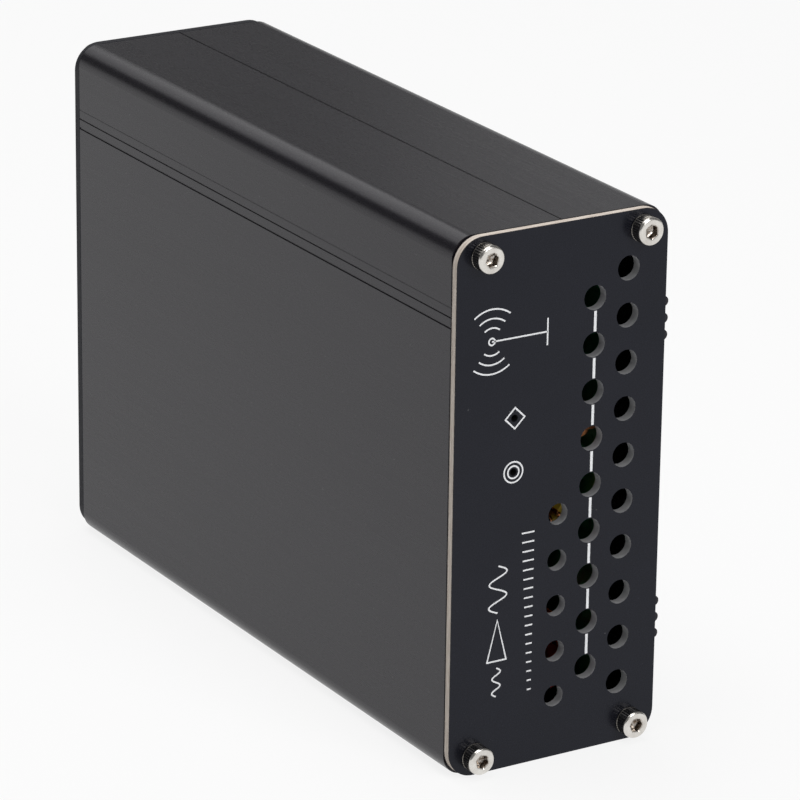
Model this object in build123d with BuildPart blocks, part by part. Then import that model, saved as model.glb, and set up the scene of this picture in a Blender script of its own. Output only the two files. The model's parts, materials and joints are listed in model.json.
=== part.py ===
from build123d import *
import os
from math import cos, radians, sin, tan

os.makedirs("parts", exist_ok=True)

# The amplifier stands on a narrow side. X runs across the front from the smooth wide face to the
# ridged one, Y runs towards the back, Z runs up. The origin is the middle of the resting face.
# All sizes are in millimetres.

# --- Case ---
case_width = 38.0
case_height = 88.0
shell_length = 120.0
corner_r = 3.5
wall = 2.0
panel_corner_r = 4.5
panel_thickness = 1.6
panel_back_chamfer = 0.15

seam_x = 0.4
seam_groove_width = 0.22
seam_groove_depth = 0.45
tongue_thickness = 0.7
tongue_length = 1.5
tongue_clearance = 0.05
tongue_end_clearance = 0.2

ridge_r = 0.85
ridge_rise = 1.6
ridge_pitch = 2.75
ridges_in_group = 3
ridge_group_offset = 24.95

fine_groove_drops = (11.0, 12.6, 14.25)
fine_groove_widths = (0.2, 0.25, 0.4)
fine_groove_depths = (0.05, 0.15, 0.18)

channel_r = 2.3
channel_slit = 1.0
screw_inset_x = 4.65
screw_inset_z = 3.1

# --- Small cap screws of the panels and the fan ---
hex_sides = 6
cap_head_r = 2.25
cap_head_height = 2.5
cap_head_chamfer = 0.25
cap_key_width = 2.0
cap_key_depth = 1.3
cap_shank_r = 1.2
cap_thread_hole_r = 1.25
cap_clearance_r = 1.4
panel_screw_length = 9.6
fan_screw_length = 9.0

# --- Main board ---
board_thickness = 1.6
board_gap = 6.0
board_end_clearance = 0.3
board_edge_clearance = 0.3
board_slot_clearance = 0.1
rib_thickness = 1.2
rib_depth = 1.5
lead_r = 0.4
lead_hole_clearance = 0.2
lead_tail = 1.0

# --- Front panel ---
vent_pitch = 7.62
vent_r = 2.0
short_vent_r = 1.75
long_vent_count = 10
middle_vent_count = 9
short_vent_count = 5
gap_vent_offset = 0.95
middle_vent_offset = 3.48
outer_vent_offset = 9.28
long_vent_top_drop = 9.15
lamp_window_r = 0.6
lamp_height_above_board = 17.65
lamp_drops = (30.03, 38.8)

# --- Indicator lamps ---
lamp_r = 1.5
lamp_flange_r = 1.9
lamp_flange_thickness = 1.0
lamp_barrel = 3.0
lamp_window_gap = 0.2
lamp_lead_width = 0.5
lamp_lead_spacing = 2.54
lamp_near_bend = 1.8
lamp_far_bend = 4.0

# --- Power transistors under the board, on a spreader against the ridged shell ---
spreader_thickness = 3.0
spreader_length = 26.0
spreader_height = 44.0
spreader_forward = -18.0
pad_thickness = 0.2
pad_length = 17.5
pad_height = 12.0
pad_hole_r = 2.0
transistor_spread = 8.2
tab_length = 15.5
tab_width = 10.0
tab_thickness = 1.3
tab_hole_r = 1.9
tab_hole_from_end = 2.8
plastic_length = 9.0
plastic_width = 10.2
plastic_height = 3.2
plastic_edge = 0.4
lead_plane_height = 2.4
lead_width = 0.8
lead_thickness = 0.5
lead_pitch = 2.54
lead_run = 2.6
transistor_front = -10.0
window_margin = 0.5
bush_flange_r = 3.0
bush_flange_thickness = 0.6
bush_sleeve_r = 1.85
bush_sleeve_length = 1.2
bush_bore_r = 1.55
pan_head_r = 2.75
pan_head_height = 1.9
pan_head_round = 0.6
pan_slot_width = 0.8
pan_slot_depth = 0.9
pan_shank_r = 1.45
pan_screw_length = 5.0
tapped_r = 1.5
flat_head_r = 2.75
flat_head_height = 1.65
flat_head_angle = 90
flat_screw_length = 4.8
flat_clearance_r = 1.6
flat_seat_clearance = 0.05
flat_key_width = 2.0
flat_key_depth = 1.0
flat_screw_spread = 7.0

# --- Output transformer: two ferrite sleeves on brass tubes ---
sleeve_r = 7.0
sleeve_bore_r = 3.25
sleeve_length = 25.4
sleeve_edge = 0.4
sleeve_spread = 7.4
tube_r = 3.2
tube_bore_r = 2.7
tube_fit = 0.05
end_plate_width = 30.0
end_plate_height = 15.0
end_plate_thickness = 1.6
output_wire_r = 0.6
output_turns = 3
output_turn_pitch = 1.4
winding_overhang = 1.6
output_transformer_forward = 8.0

# --- Input transformer: two-hole ferrite block ---
block_width = 13.3
block_height = 7.5
block_length = 14.35
block_bore_r = 1.9
block_bore_spread = 2.85
block_edge = 1.0
input_wire_r = 0.3
input_turns = 3
input_turn_pitch = 0.8
input_transformer_forward = 0.0
input_transformer_drop = 23.0

# --- Wound rings of the filter and the choke ---
ring_r = 6.35
ring_bore_r = 3.85
ring_height = 4.83
ring_edge = 0.4
ring_wire_r = 0.4
ring_wire_gap = 0.05
ring_seat_gap = 0.1
ring_open_angle = 60.0
filter_turns = 12
choke_turns = 9
filter_ring_setback = 7.5
upper_ring_drop = 3.0
lower_ring_z = 14.0
choke_forward = -4.0
choke_top_drop = 14.0

# --- Disc capacitors ---
disc_r = 3.5
disc_thickness = 2.6
disc_edge = 0.8
disc_stand = 1.0
disc_lead_spread = 2.5
disc_setback = 16.0
front_disc_setback = 4.0
front_disc_rise = 8.8
disc_heights = (21.5, 34.0, 50.0)

# --- Supply capacitors ---
can_r = 5.0
can_height = 16.0
can_edge = 0.8
can_groove_r = 0.35
can_groove_height = 2.0
can_lead_spread = 2.5
can_forwards = (-34.0, -21.0)
can_top_drop = 13.0

# --- Relays ---
output_relay_length = 29.0
output_relay_width = 12.7
output_relay_height = 15.7
output_relay_forward = 24.0
output_relay_top_drop = 14.0
output_relay_pins = (-12.0, 3.0, 8.0, 13.0)
output_relay_pin_spread = 3.75
input_relay_length = 20.2
input_relay_width = 10.0
input_relay_height = 11.0
input_relay_forward = -28.0
input_relay_z = 13.0
input_relay_pins = (-7.62, -2.54, 2.54, 7.62)
input_relay_pin_spread = 3.0
relay_edge = 0.6
relay_top_edge = 0.3

# --- Bias trimmers and regulator ---
trimmer_side = 6.6
trimmer_height = 4.9
trimmer_edge = 0.3
trimmer_forward = -36.0
trimmer_recess_r = 1.85
trimmer_recess_depth = 1.2
rotor_clearance = 0.05
rotor_stand = 0.3
rotor_slot_width = 0.6
rotor_slot_depth = 0.6
trimmer_pins = ((-2.54, -1.27), (-2.54, 1.27), (2.54, 0.0))
regulator_r = 2.4
regulator_flat = 1.3
regulator_height = 4.6
regulator_stand = 2.0
regulator_forward = -36.0
regulator_rise = 17.0
regulator_pin_pitch = 1.27
regulator_foot_pitch = 2.54
regulator_pin_r = 0.25

# --- Chip parts lying on the board ---
chip_length = 3.2
chip_width = 1.6
chip_height = 0.9
chip_columns = ((-47.2, 5), (30.0, 4))
chip_pitch = 4.5
chip_column_drop = 10.0

# --- Radio-frequency sockets ---
housing_side = 14.5
housing_depth = 15.0
housing_edge = 0.4
shell_thread_r = 4.7
shell_barrel_r = 4.8
shell_bore_r = 4.05
shell_root_depth = 12.0
shell_thread_length = 8.0
shell_barrel_length = 10.6
shell_seat_clearance = 0.05
panel_hole_clearance = 0.15
lug_r = 1.0
lug_rise = 1.2
lug_setback = 5.0
mouth_chamfer = 0.4
insulator_nose_r = 2.35
insulator_nose_length = 15.0
insulator_fit = 0.05
contact_r = 1.1
contact_fit = 0.05
contact_bore_r = 0.7
contact_bore_depth = 5.0
contact_recess = 0.8
contact_tail_setback = 13.5
contact_pin_r = 0.5
nut_flats = 14.0
nut_thickness = 2.2
nut_fit = 0.05
rf_input_rise = 10.6
housing_roof_gap = 2.55

# --- Direct-current inlet ---
inlet_length = 16.2
inlet_height = 8.2
inlet_depth = 12.0
shroud_length = 15.6
shroud_height = 7.6
shroud_reach = 9.0
shroud_wall = 0.9
shroud_corner = 2.4
cavity_corner = 2.0
inlet_panel_clearance = 0.15
inlet_pin_r = 1.75
inlet_pin_spread = 3.6
inlet_pin_reach = 8.0
inlet_pin_root = 6.0
inlet_pin_round = 0.9
inlet_pin_fit = 0.05
inlet_tail_r = 0.8
inlet_tail_setback = 4.0
inlet_housing_gap = 0.75

# --- Cooling fan ---
fan_side = 25.0
fan_depth = 10.0
fan_corner = 2.0
fan_rim = 0.7
fan_screw_inset = 2.5
fan_inlet_gap = 1.5
fan_base_r = 6.4
fan_base_thickness = 1.2
fan_strut_width = 1.5
fan_strut_count = 3
fan_strut_start = 90
fan_stator_r = 4.4
fan_stator_height = 5.0
fan_bearing_r = 1.7
fan_bearing_bore_r = 0.8
fan_bearing_height = 6.5
fan_shaft_clearance = 0.05
fan_hub_r = 6.2
fan_hub_wall = 0.9
fan_hub_cap = 1.0
fan_hub_lift = 0.5
fan_hub_setback = 0.7
fan_shaft_end_gap = 0.2
blade_count = 7
blade_tip_gap = 0.6
blade_root_overlap = 0.3
blade_chord = 7.0
blade_thickness = 0.8
blade_pitch = 40.0
grille_hole_r = 1.5
grille_rim = 2.2
grille_ring_count = (6, 12)
gap_exhaust_count = 5

# --- Keying jack ---
jack_fan_gap = 1.5
jack_body_side = 8.0
jack_body_depth = 12.0
jack_edge = 0.5
jack_bore_r = 1.8
jack_bore_depth = 10.0
jack_bush_r = 3.0
jack_bush_length = 5.0
jack_hole_clearance = 0.15
jack_nut_flats = 8.0
jack_nut_thickness = 1.8
jack_nut_fit = 0.05

# --- Leads and their plug-on headers ---
wire_r = 0.8
wire_bend = 3.0
header_length = 2.6
header_width = 5.0
header_height = 5.5
header_edge = 0.3
header_pin_spread = 1.27
fan_header_forward = -44.0
key_header_forward = -42.0
fan_lead_offset = 4.0

# --- Places that follow from the sizes ---
mid_z = case_height / 2
inner_x = case_width / 2 - wall
end_u = shell_length / 2
board_back_x = inner_x - board_gap
board_face_x = board_back_x - board_thickness
lead_reach = board_thickness + lead_tail
lead_end_x = board_back_x + lead_tail
upper_transistor_z = mid_z + transistor_spread
lower_transistor_z = mid_z - transistor_spread
upper_ring_z = mid_z - upper_ring_drop
top_board_z = case_height - output_relay_top_drop
rf_input_z = wall + rf_input_rise
rf_output_z = case_height - wall - housing_roof_gap - housing_side / 2
inlet_z = rf_output_z - housing_side / 2 - inlet_housing_gap - inlet_length / 2
fan_z = inlet_z - inlet_length / 2 - fan_inlet_gap - fan_side / 2
fan_x = (board_face_x - inner_x) / 2
fan_bore_r = fan_side / 2 - fan_rim
fan_screw_offset = fan_side / 2 - fan_screw_inset
blade_tip_r = fan_bore_r - blade_tip_gap
grille_outer_r = fan_bore_r - grille_rim
grille_ring_r = (grille_outer_r / 2, grille_outer_r)
socket_x = board_face_x - housing_side / 2
inlet_x = board_face_x - inlet_height / 2
jack_x = (board_face_x - housing_side - inner_x) / 2
jack_z = fan_z - fan_side / 2 - jack_fan_gap - jack_body_side / 2
gap_vent_x = board_back_x + gap_vent_offset
lamp_x = board_face_x - lamp_height_above_board
lamp_heights = tuple(case_height - drop for drop in lamp_drops)
vent_field_z = case_height - long_vent_top_drop - vent_pitch * (long_vent_count - 1) / 2
short_vent_z = vent_field_z - vent_pitch * (long_vent_count - short_vent_count) / 2
screw_x = case_width / 2 - screw_inset_x
screw_places = [
    (side * screw_x, z) for side in (-1, 1) for z in (screw_inset_z, case_height - screw_inset_z)
]
fan_screw_places = [
    (fan_x + across * fan_screw_offset, fan_z + up * fan_screw_offset)
    for across in (-1, 1)
    for up in (-1, 1)
]


def facing_front(y):
    """Plane at depth y that faces the front, with local x along X and local y along Z."""
    return Plane.XZ.offset(-y)


def facing_back(y):
    """Plane at depth y that faces the back, with local x against X and local y along Z."""
    return Plane(origin=(0, y, 0), x_dir=(-1, 0, 0), z_dir=(0, 1, 0))


def above_board(height):
    """Plane parallel to the board at a height over its component face.

    Local x is the distance forward of the case's middle and local y is Z.
    """
    return Plane(origin=(board_face_x - height, 0, 0), x_dir=(0, -1, 0), z_dir=(-1, 0, 0))


def mirrored(places):
    """The same places as seen from the back."""
    return [(-x, z) for x, z in places]


def save(builder, name):
    """Label a finished piece and write its file."""
    builder.part.label = name
    export_step(builder.part, f"parts/{name}.step")


def outward_edges(builder, plane):
    """The edges of a part that lie furthest along a plane's normal."""
    return builder.edges().group_by(Axis((0, 0, 0), tuple(plane.z_dir)))[-1]


# --- Half shells ---
def draw_case_section():
    """Wall, board ribs and screw channels of the whole case, in the open sketch."""
    slot_half = board_thickness / 2 + board_slot_clearance + rib_thickness / 2
    slot_x = (board_face_x + board_back_x) / 2
    rib_xs = [side * (slot_x + offset) for side in (-1, 1) for offset in (-slot_half, slot_half)]
    with Locations((0, mid_z)):
        RectangleRounded(case_width, case_height, corner_r)
        RectangleRounded(
            case_width - 2 * wall, case_height - 2 * wall, corner_r - wall, mode=Mode.SUBTRACT
        )
    with Locations(*[(x, 0) for x in rib_xs]):
        Rectangle(rib_thickness, wall + rib_depth, align=(Align.CENTER, Align.MIN))
    with Locations(*[(x, case_height) for x in rib_xs]):
        Rectangle(rib_thickness, wall + rib_depth, align=(Align.CENTER, Align.MAX))
    with Locations(*screw_places):
        Circle(channel_r)
        Circle(cap_thread_hole_r, mode=Mode.SUBTRACT)
    for x, z in screw_places:
        rise = channel_r if z < mid_z else -channel_r
        with Locations((x, z + rise)):
            Rectangle(channel_slit, 2 * channel_r, mode=Mode.SUBTRACT)
    with Locations((seam_x, 0), (seam_x, case_height)):
        Rectangle(seam_groove_width, 2 * seam_groove_depth, mode=Mode.SUBTRACT)


wall_middles = [(seam_x, wall / 2), (seam_x, case_height - wall / 2)]

with BuildPart() as left_shell:
    with BuildSketch(facing_front(end_u)):
        draw_case_section()
        with Locations((seam_x, mid_z)):
            Rectangle(
                case_width, case_height, align=(Align.MIN, Align.CENTER), mode=Mode.SUBTRACT
            )
        with Locations(*wall_middles):
            Rectangle(
                tongue_length + tongue_end_clearance,
                tongue_thickness + 2 * tongue_clearance,
                align=(Align.MAX, Align.CENTER),
                mode=Mode.SUBTRACT,
            )
        for drop, width, depth in zip(fine_groove_drops, fine_groove_widths, fine_groove_depths):
            with Locations((-case_width / 2, case_height - drop)):
                Rectangle(2 * depth, width, mode=Mode.SUBTRACT)
    extrude(amount=shell_length)
save(left_shell, "left_shell")

middle_ridge = (ridges_in_group - 1) / 2
ridge_places = [
    (case_width / 2 + ridge_rise - ridge_r, mid_z + group + ridge_pitch * (index - middle_ridge))
    for group in (-ridge_group_offset, ridge_group_offset)
    for index in range(ridges_in_group)
]
spreader_screw_forwards = [
    spreader_forward + side * flat_screw_spread for side in (-1, 1)
]
outer_face = Plane(origin=(case_width / 2, 0, 0), x_dir=(0, 1, 0), z_dir=(1, 0, 0))
flat_screw_places = [(-forward, mid_z) for forward in spreader_screw_forwards]

with BuildPart() as right_shell:
    with BuildSketch(facing_front(end_u)):
        draw_case_section()
        with Locations(*ridge_places):
            Circle(ridge_r)
            Rectangle(ridge_rise, 2 * ridge_r, align=(Align.MAX, Align.CENTER))
        with Locations((seam_x, mid_z)):
            Rectangle(
                case_width, case_height, align=(Align.MAX, Align.CENTER), mode=Mode.SUBTRACT
            )
        with Locations(*wall_middles):
            Rectangle(tongue_length, tongue_thickness, align=(Align.MAX, Align.CENTER))
    extrude(amount=shell_length)
    with Locations(outer_face):
        with Locations(*flat_screw_places):
            CounterSinkHole(
                flat_clearance_r,
                flat_head_r + flat_seat_clearance,
                wall,
                counter_sink_angle=flat_head_angle,
            )
save(right_shell, "right_shell")


# --- End panels ---
def draw_panel():
    """Outline and screw holes shared by the two end panels, in the open sketch."""
    with Locations((0, mid_z)):
        RectangleRounded(case_width, case_height, panel_corner_r)
    with Locations(*screw_places):
        Circle(cap_clearance_r, mode=Mode.SUBTRACT)


with BuildPart() as front_panel:
    with BuildSketch(facing_front(-end_u)):
        draw_panel()
        with Locations((gap_vent_x, vent_field_z)):
            with GridLocations(vent_pitch, vent_pitch, 1, long_vent_count):
                Circle(vent_r, mode=Mode.SUBTRACT)
        with Locations((board_face_x - middle_vent_offset, vent_field_z)):
            with GridLocations(vent_pitch, vent_pitch, 1, middle_vent_count):
                Circle(vent_r, mode=Mode.SUBTRACT)
        with Locations((board_face_x - outer_vent_offset, short_vent_z)):
            with GridLocations(vent_pitch, vent_pitch, 1, short_vent_count):
                Circle(short_vent_r, mode=Mode.SUBTRACT)
        with Locations(*[(lamp_x, z) for z in lamp_heights]):
            Circle(lamp_window_r, mode=Mode.SUBTRACT)
    extrude(amount=panel_thickness)
    chamfer(
        front_panel.faces().sort_by(Axis.Y)[-1].outer_wire().edges(), length=panel_back_chamfer
    )
save(front_panel, "front_panel")


def shroud_outline(length, height, corner):
    """Keyed inlet outline about the origin, its two upper corners cut off."""
    half_length = length / 2
    half_height = height / 2
    return [
        (-half_height, -half_length),
        (half_height, -half_length),
        (half_height, half_length - corner),
        (half_height - corner, half_length),
        (corner - half_height, half_length),
        (-half_height, half_length - corner),
    ]


with BuildPart() as rear_panel:
    with BuildSketch(facing_front(end_u + panel_thickness)):
        draw_panel()
        with Locations((socket_x, rf_input_z), (socket_x, rf_output_z)):
            Circle(shell_thread_r + panel_hole_clearance, mode=Mode.SUBTRACT)
        with Locations((inlet_x, inlet_z)):
            Polygon(
                *shroud_outline(
                    shroud_length + 2 * inlet_panel_clearance,
                    shroud_height + 2 * inlet_panel_clearance,
                    shroud_corner,
                ),
                align=None,
                mode=Mode.SUBTRACT,
            )
        with Locations((jack_x, jack_z)):
            Circle(jack_bush_r + jack_hole_clearance, mode=Mode.SUBTRACT)
        with Locations(*fan_screw_places):
            Circle(cap_clearance_r, mode=Mode.SUBTRACT)
        with Locations((fan_x, fan_z)):
            Circle(grille_hole_r, mode=Mode.SUBTRACT)
            for ring_radius, count in zip(grille_ring_r, grille_ring_count):
                with PolarLocations(ring_radius, count):
                    Circle(grille_hole_r, mode=Mode.SUBTRACT)
        with Locations((gap_vent_x, fan_z)):
            with GridLocations(vent_pitch, vent_pitch, 1, gap_exhaust_count):
                Circle(vent_r, mode=Mode.SUBTRACT)
    extrude(amount=panel_thickness)
    chamfer(
        rear_panel.faces().sort_by(Axis.Y)[0].outer_wire().edges(), length=panel_back_chamfer
    )
save(rear_panel, "rear_panel")


# --- Cap screws ---
def cap_screws(name, face, places, length):
    """Socket head cap screws seated on a face, heads standing out along its normal."""
    with BuildPart() as screws:
        with BuildSketch(face):
            with Locations(*places):
                Circle(cap_head_r)
        extrude(amount=cap_head_height)
        chamfer(outward_edges(screws, face), length=cap_head_chamfer)
        with BuildSketch(face.offset(cap_head_height)):
            with Locations(*places):
                RegularPolygon(cap_key_width / 2, hex_sides, major_radius=False)
        extrude(amount=-cap_key_depth, mode=Mode.SUBTRACT)
        with BuildSketch(face):
            with Locations(*places):
                Circle(cap_shank_r)
        extrude(amount=-length)
    save(screws, name)


front_face = facing_front(-end_u - panel_thickness)
rear_face = facing_back(end_u + panel_thickness)
cap_screws("front_panel_screws", front_face, screw_places, panel_screw_length)
cap_screws("rear_panel_screws", rear_face, mirrored(screw_places), panel_screw_length)
cap_screws("fan_screws", rear_face, mirrored(fan_screw_places), fan_screw_length)


# --- Lead places on the board: distance forward, height ---
def side_by_side(forward, z, spread):
    """Two places either side of a height."""
    return [(forward, z - spread), (forward, z + spread)]


output_relay_leads = [
    (output_relay_forward + offset, top_board_z + side * output_relay_pin_spread)
    for offset in output_relay_pins
    for side in (-1, 1)
]
input_relay_leads = [
    (input_relay_forward + offset, input_relay_z + side * input_relay_pin_spread)
    for offset in input_relay_pins
    for side in (-1, 1)
]
trimmer_places = [
    (trimmer_forward, lower_transistor_z),
    (trimmer_forward, upper_transistor_z),
]
trimmer_leads = [
    (forward + along, z + up) for forward, z in trimmer_places for along, up in trimmer_pins
]
regulator_z = mid_z + regulator_rise
regulator_leads = [
    (regulator_forward, regulator_z + step * regulator_foot_pitch) for step in (-1, 0, 1)
]
can_z = case_height - can_top_drop
can_leads = [
    place
    for forward in can_forwards
    for place in side_by_side(forward, can_z, can_lead_spread)
]
disc_places = [(end_u - disc_setback, z) for z in disc_heights]
disc_places.append((end_u - front_disc_setback, mid_z + front_disc_rise))
disc_leads = [
    (forward + side * disc_lead_spread, z) for forward, z in disc_places for side in (-1, 1)
]
header_places = [(fan_header_forward, fan_z), (key_header_forward, jack_z)]
header_leads = [
    place for forward, z in header_places for place in side_by_side(forward, z, header_pin_spread)
]
lamp_bends = [
    (lamp_x + lamp_lead_spacing / 2, lamp_near_bend),
    (lamp_x - lamp_lead_spacing / 2, lamp_far_bend),
]
lamp_back_u = end_u - lamp_window_gap - lamp_r - lamp_barrel - lamp_flange_thickness
lamp_leads = [(lamp_back_u - bend, z) for _, bend in lamp_bends for z in lamp_heights]
transistor_lead_forward = transistor_front + lead_run - lead_thickness / 2
transistor_leads = [
    (transistor_lead_forward, centre + step * lead_pitch)
    for centre in (lower_transistor_z, upper_transistor_z)
    for step in (-1, 0, 1)
]

# --- Winding paths ---
wound_r = ring_r + ring_wire_r + ring_wire_gap
wound_bore_r = ring_bore_r - ring_wire_r - ring_wire_gap
wound_half_height = ring_height / 2 + ring_wire_r + ring_wire_gap


def ring_winding_path(plane, turns):
    """Corners of a winding: up outside, in over the top, down the bore, out under the ring."""
    turn_step = (360.0 - ring_open_angle) / turns

    def corner(radius, turn, height):
        angle = radians(ring_open_angle / 2 + turn_step * turn)
        return plane.from_local_coords(Vector(radius * cos(angle), radius * sin(angle), height))

    points = []
    for turn in range(turns):
        points.append(corner(wound_r, turn, -wound_half_height))
        points.append(corner(wound_r, turn, wound_half_height))
        points.append(corner(wound_bore_r, turn, wound_half_height))
        points.append(corner(wound_bore_r, turn, -wound_half_height))
    points.append(corner(wound_r, turns, -wound_half_height))
    return with_tails(points)


def paired_bore_path(centre_x, forward, centre_z, spread, half_length, turns, pitch):
    """Corners of a winding that goes through two parallel bores, one turn beside the next."""
    points = []
    for turn in range(turns):
        x = centre_x + (turn - (turns - 1) / 2) * pitch
        points.append(Vector(x, -forward - half_length, centre_z - spread))
        points.append(Vector(x, -forward + half_length, centre_z - spread))
        points.append(Vector(x, -forward + half_length, centre_z + spread))
        points.append(Vector(x, -forward - half_length, centre_z + spread))
    return with_tails(points)


def with_tails(points):
    """The path with a straight tail at each end that goes down through the board."""
    first, last = points[0], points[-1]
    return [Vector(lead_end_x, first.Y, first.Z), *points, Vector(lead_end_x, last.Y, last.Z)]


def tail_places(points):
    """Where a winding's two tails meet the board."""
    return [(-points[0].Y, points[0].Z), (-points[-1].Y, points[-1].Z)]


ring_seat_x = board_face_x - ring_seat_gap
standing_ring_x = ring_seat_x - wound_r - ring_wire_r
lying_ring_x = ring_seat_x - wound_half_height - ring_wire_r
upper_ring_plane = Plane(
    origin=(standing_ring_x, filter_ring_setback - end_u, upper_ring_z),
    x_dir=(1, 0, 0),
    z_dir=(0, -1, 0),
)
lower_ring_plane = Plane(
    origin=(standing_ring_x, filter_ring_setback - end_u, lower_ring_z),
    x_dir=(1, 0, 0),
    z_dir=(0, -1, 0),
)
choke_plane = Plane(
    origin=(lying_ring_x, -choke_forward, case_height - choke_top_drop),
    x_dir=(0, -1, 0),
    z_dir=(-1, 0, 0),
)
wound_rings = {
    "upper_filter": (upper_ring_plane, ring_winding_path(upper_ring_plane, filter_turns)),
    "lower_filter": (lower_ring_plane, ring_winding_path(lower_ring_plane, filter_turns)),
    "supply_choke": (choke_plane, ring_winding_path(choke_plane, choke_turns)),
}

output_transformer_x = board_face_x - end_plate_height / 2
output_half_length = sleeve_length / 2 + end_plate_thickness + winding_overhang
output_path = paired_bore_path(
    output_transformer_x,
    output_transformer_forward,
    mid_z,
    sleeve_spread,
    output_half_length,
    output_turns,
    output_turn_pitch,
)
input_transformer_x = board_face_x - block_height / 2
input_transformer_z = mid_z - input_transformer_drop
input_path = paired_bore_path(
    input_transformer_x,
    input_transformer_forward,
    input_transformer_z,
    block_bore_spread,
    block_length / 2 + winding_overhang,
    input_turns,
    input_turn_pitch,
)

lead_places = (
    output_relay_leads
    + input_relay_leads
    + trimmer_leads
    + regulator_leads
    + can_leads
    + disc_leads
    + header_leads
    + lamp_leads
    + transistor_leads
    + [place for _, path in wound_rings.values() for place in tail_places(path)]
    + tail_places(input_path)
)

# --- Main board ---
transistor_centres = [lower_transistor_z, upper_transistor_z]
tab_end_u = transistor_front - tab_length
contact_pin_forward = contact_tail_setback - contact_pin_r - end_u
socket_pin_places = [(contact_pin_forward, z) for z in (rf_input_z, rf_output_z)]
inlet_pin_heights = [inlet_z - inlet_pin_spread, inlet_z + inlet_pin_spread]
inlet_tail_places = [(inlet_tail_setback - end_u, z) for z in inlet_pin_heights]
board_length = shell_length - 2 * board_end_clearance
board_height = case_height - 2 * (wall + board_edge_clearance)

with BuildPart() as main_board:
    with BuildSketch(above_board(0)):
        with Locations((0, mid_z)):
            Rectangle(board_length, board_height)
        with Locations(*[(tab_end_u + tab_length / 2, z) for z in transistor_centres]):
            Rectangle(
                tab_length + 2 * window_margin,
                plastic_width + 2 * window_margin,
                mode=Mode.SUBTRACT,
            )
        with Locations(*lead_places):
            Circle(lead_r + lead_hole_clearance, mode=Mode.SUBTRACT)
        with Locations(*tail_places(output_path)):
            Circle(output_wire_r + lead_hole_clearance, mode=Mode.SUBTRACT)
        with Locations(*socket_pin_places):
            Circle(contact_pin_r + lead_hole_clearance, mode=Mode.SUBTRACT)
        with Locations(*inlet_tail_places):
            Circle(inlet_tail_r + lead_hole_clearance, mode=Mode.SUBTRACT)
    extrude(amount=-board_thickness)
save(main_board, "main_board")

# --- Heat spreader and its two countersunk screws ---
spreader_plane = Plane(origin=(inner_x, 0, 0), x_dir=(0, -1, 0), z_dir=(-1, 0, 0))
tab_screw_forward = tab_end_u + tab_hole_from_end
tab_screw_places = [(tab_screw_forward, z) for z in transistor_centres]

with BuildPart() as heat_spreader:
    with BuildSketch(spreader_plane):
        with Locations((spreader_forward, mid_z)):
            Rectangle(spreader_length, spreader_height)
        with Locations(*tab_screw_places):
            Circle(tapped_r, mode=Mode.SUBTRACT)
        with Locations(*[(forward, mid_z) for forward in spreader_screw_forwards]):
            Circle(tapped_r, mode=Mode.SUBTRACT)
    extrude(amount=spreader_thickness)
save(heat_spreader, "heat_spreader")

flat_head_low_r = flat_head_r - flat_head_height * tan(radians(flat_head_angle / 2))

with BuildPart() as spreader_screws:
    with BuildSketch(outer_face):
        with Locations(*flat_screw_places):
            Circle(pan_shank_r)
    extrude(amount=-flat_screw_length)
    for along, z in flat_screw_places:
        with Locations(outer_face.offset(-flat_head_height / 2)):
            with Locations((along, z)):
                Cone(flat_head_low_r, flat_head_r, flat_head_height)
    with BuildSketch(outer_face):
        with Locations(*flat_screw_places):
            RegularPolygon(flat_key_width / 2, hex_sides, major_radius=False)
    extrude(amount=-flat_key_depth, mode=Mode.SUBTRACT)
save(spreader_screws, "spreader_screws")

# --- Power transistors, their pads, bushes and screws ---
pad_plane = spreader_plane.offset(spreader_thickness)
tab_plane = pad_plane.offset(pad_thickness)
tab_top_plane = tab_plane.offset(tab_thickness)
tab_middle_u = transistor_front - tab_length / 2

with BuildPart() as transistor_pads:
    with BuildSketch(pad_plane):
        with Locations(*[(tab_middle_u, z) for z in transistor_centres]):
            Rectangle(pad_length, pad_height)
        with Locations(*tab_screw_places):
            Circle(pad_hole_r, mode=Mode.SUBTRACT)
    extrude(amount=pad_thickness)
save(transistor_pads, "transistor_pads")

lead_back_x = inner_x - spreader_thickness - pad_thickness - lead_plane_height + lead_thickness / 2
lead_top_x = board_face_x - lead_tail

for side, centre in zip(("lower", "upper"), transistor_centres):
    with BuildPart() as transistor_frame:
        with BuildSketch(tab_plane):
            with Locations((tab_middle_u, centre)):
                Rectangle(tab_length, tab_width)
            with Locations((tab_screw_forward, centre)):
                Circle(tab_hole_r, mode=Mode.SUBTRACT)
        extrude(amount=tab_thickness)
        for step in (-1, 0, 1):
            with BuildSketch(Plane.XY.offset(centre + step * lead_pitch)):
                with Locations((lead_back_x, -transistor_front)):
                    Rectangle(lead_thickness, lead_run, align=(Align.MAX, Align.MAX))
                with Locations((lead_back_x, -transistor_front - lead_run)):
                    Rectangle(
                        lead_back_x - lead_top_x, lead_thickness, align=(Align.MAX, Align.MIN)
                    )
            extrude(amount=lead_width / 2, both=True)
    save(transistor_frame, f"{side}_transistor_frame")

    with BuildPart() as transistor_plastic:
        with BuildSketch(tab_top_plane):
            with Locations((transistor_front - plastic_length / 2, centre)):
                Rectangle(plastic_length, plastic_width)
        extrude(amount=plastic_height)
        chamfer(outward_edges(transistor_plastic, tab_top_plane), length=plastic_edge)
    save(transistor_plastic, f"{side}_transistor_body")

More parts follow.
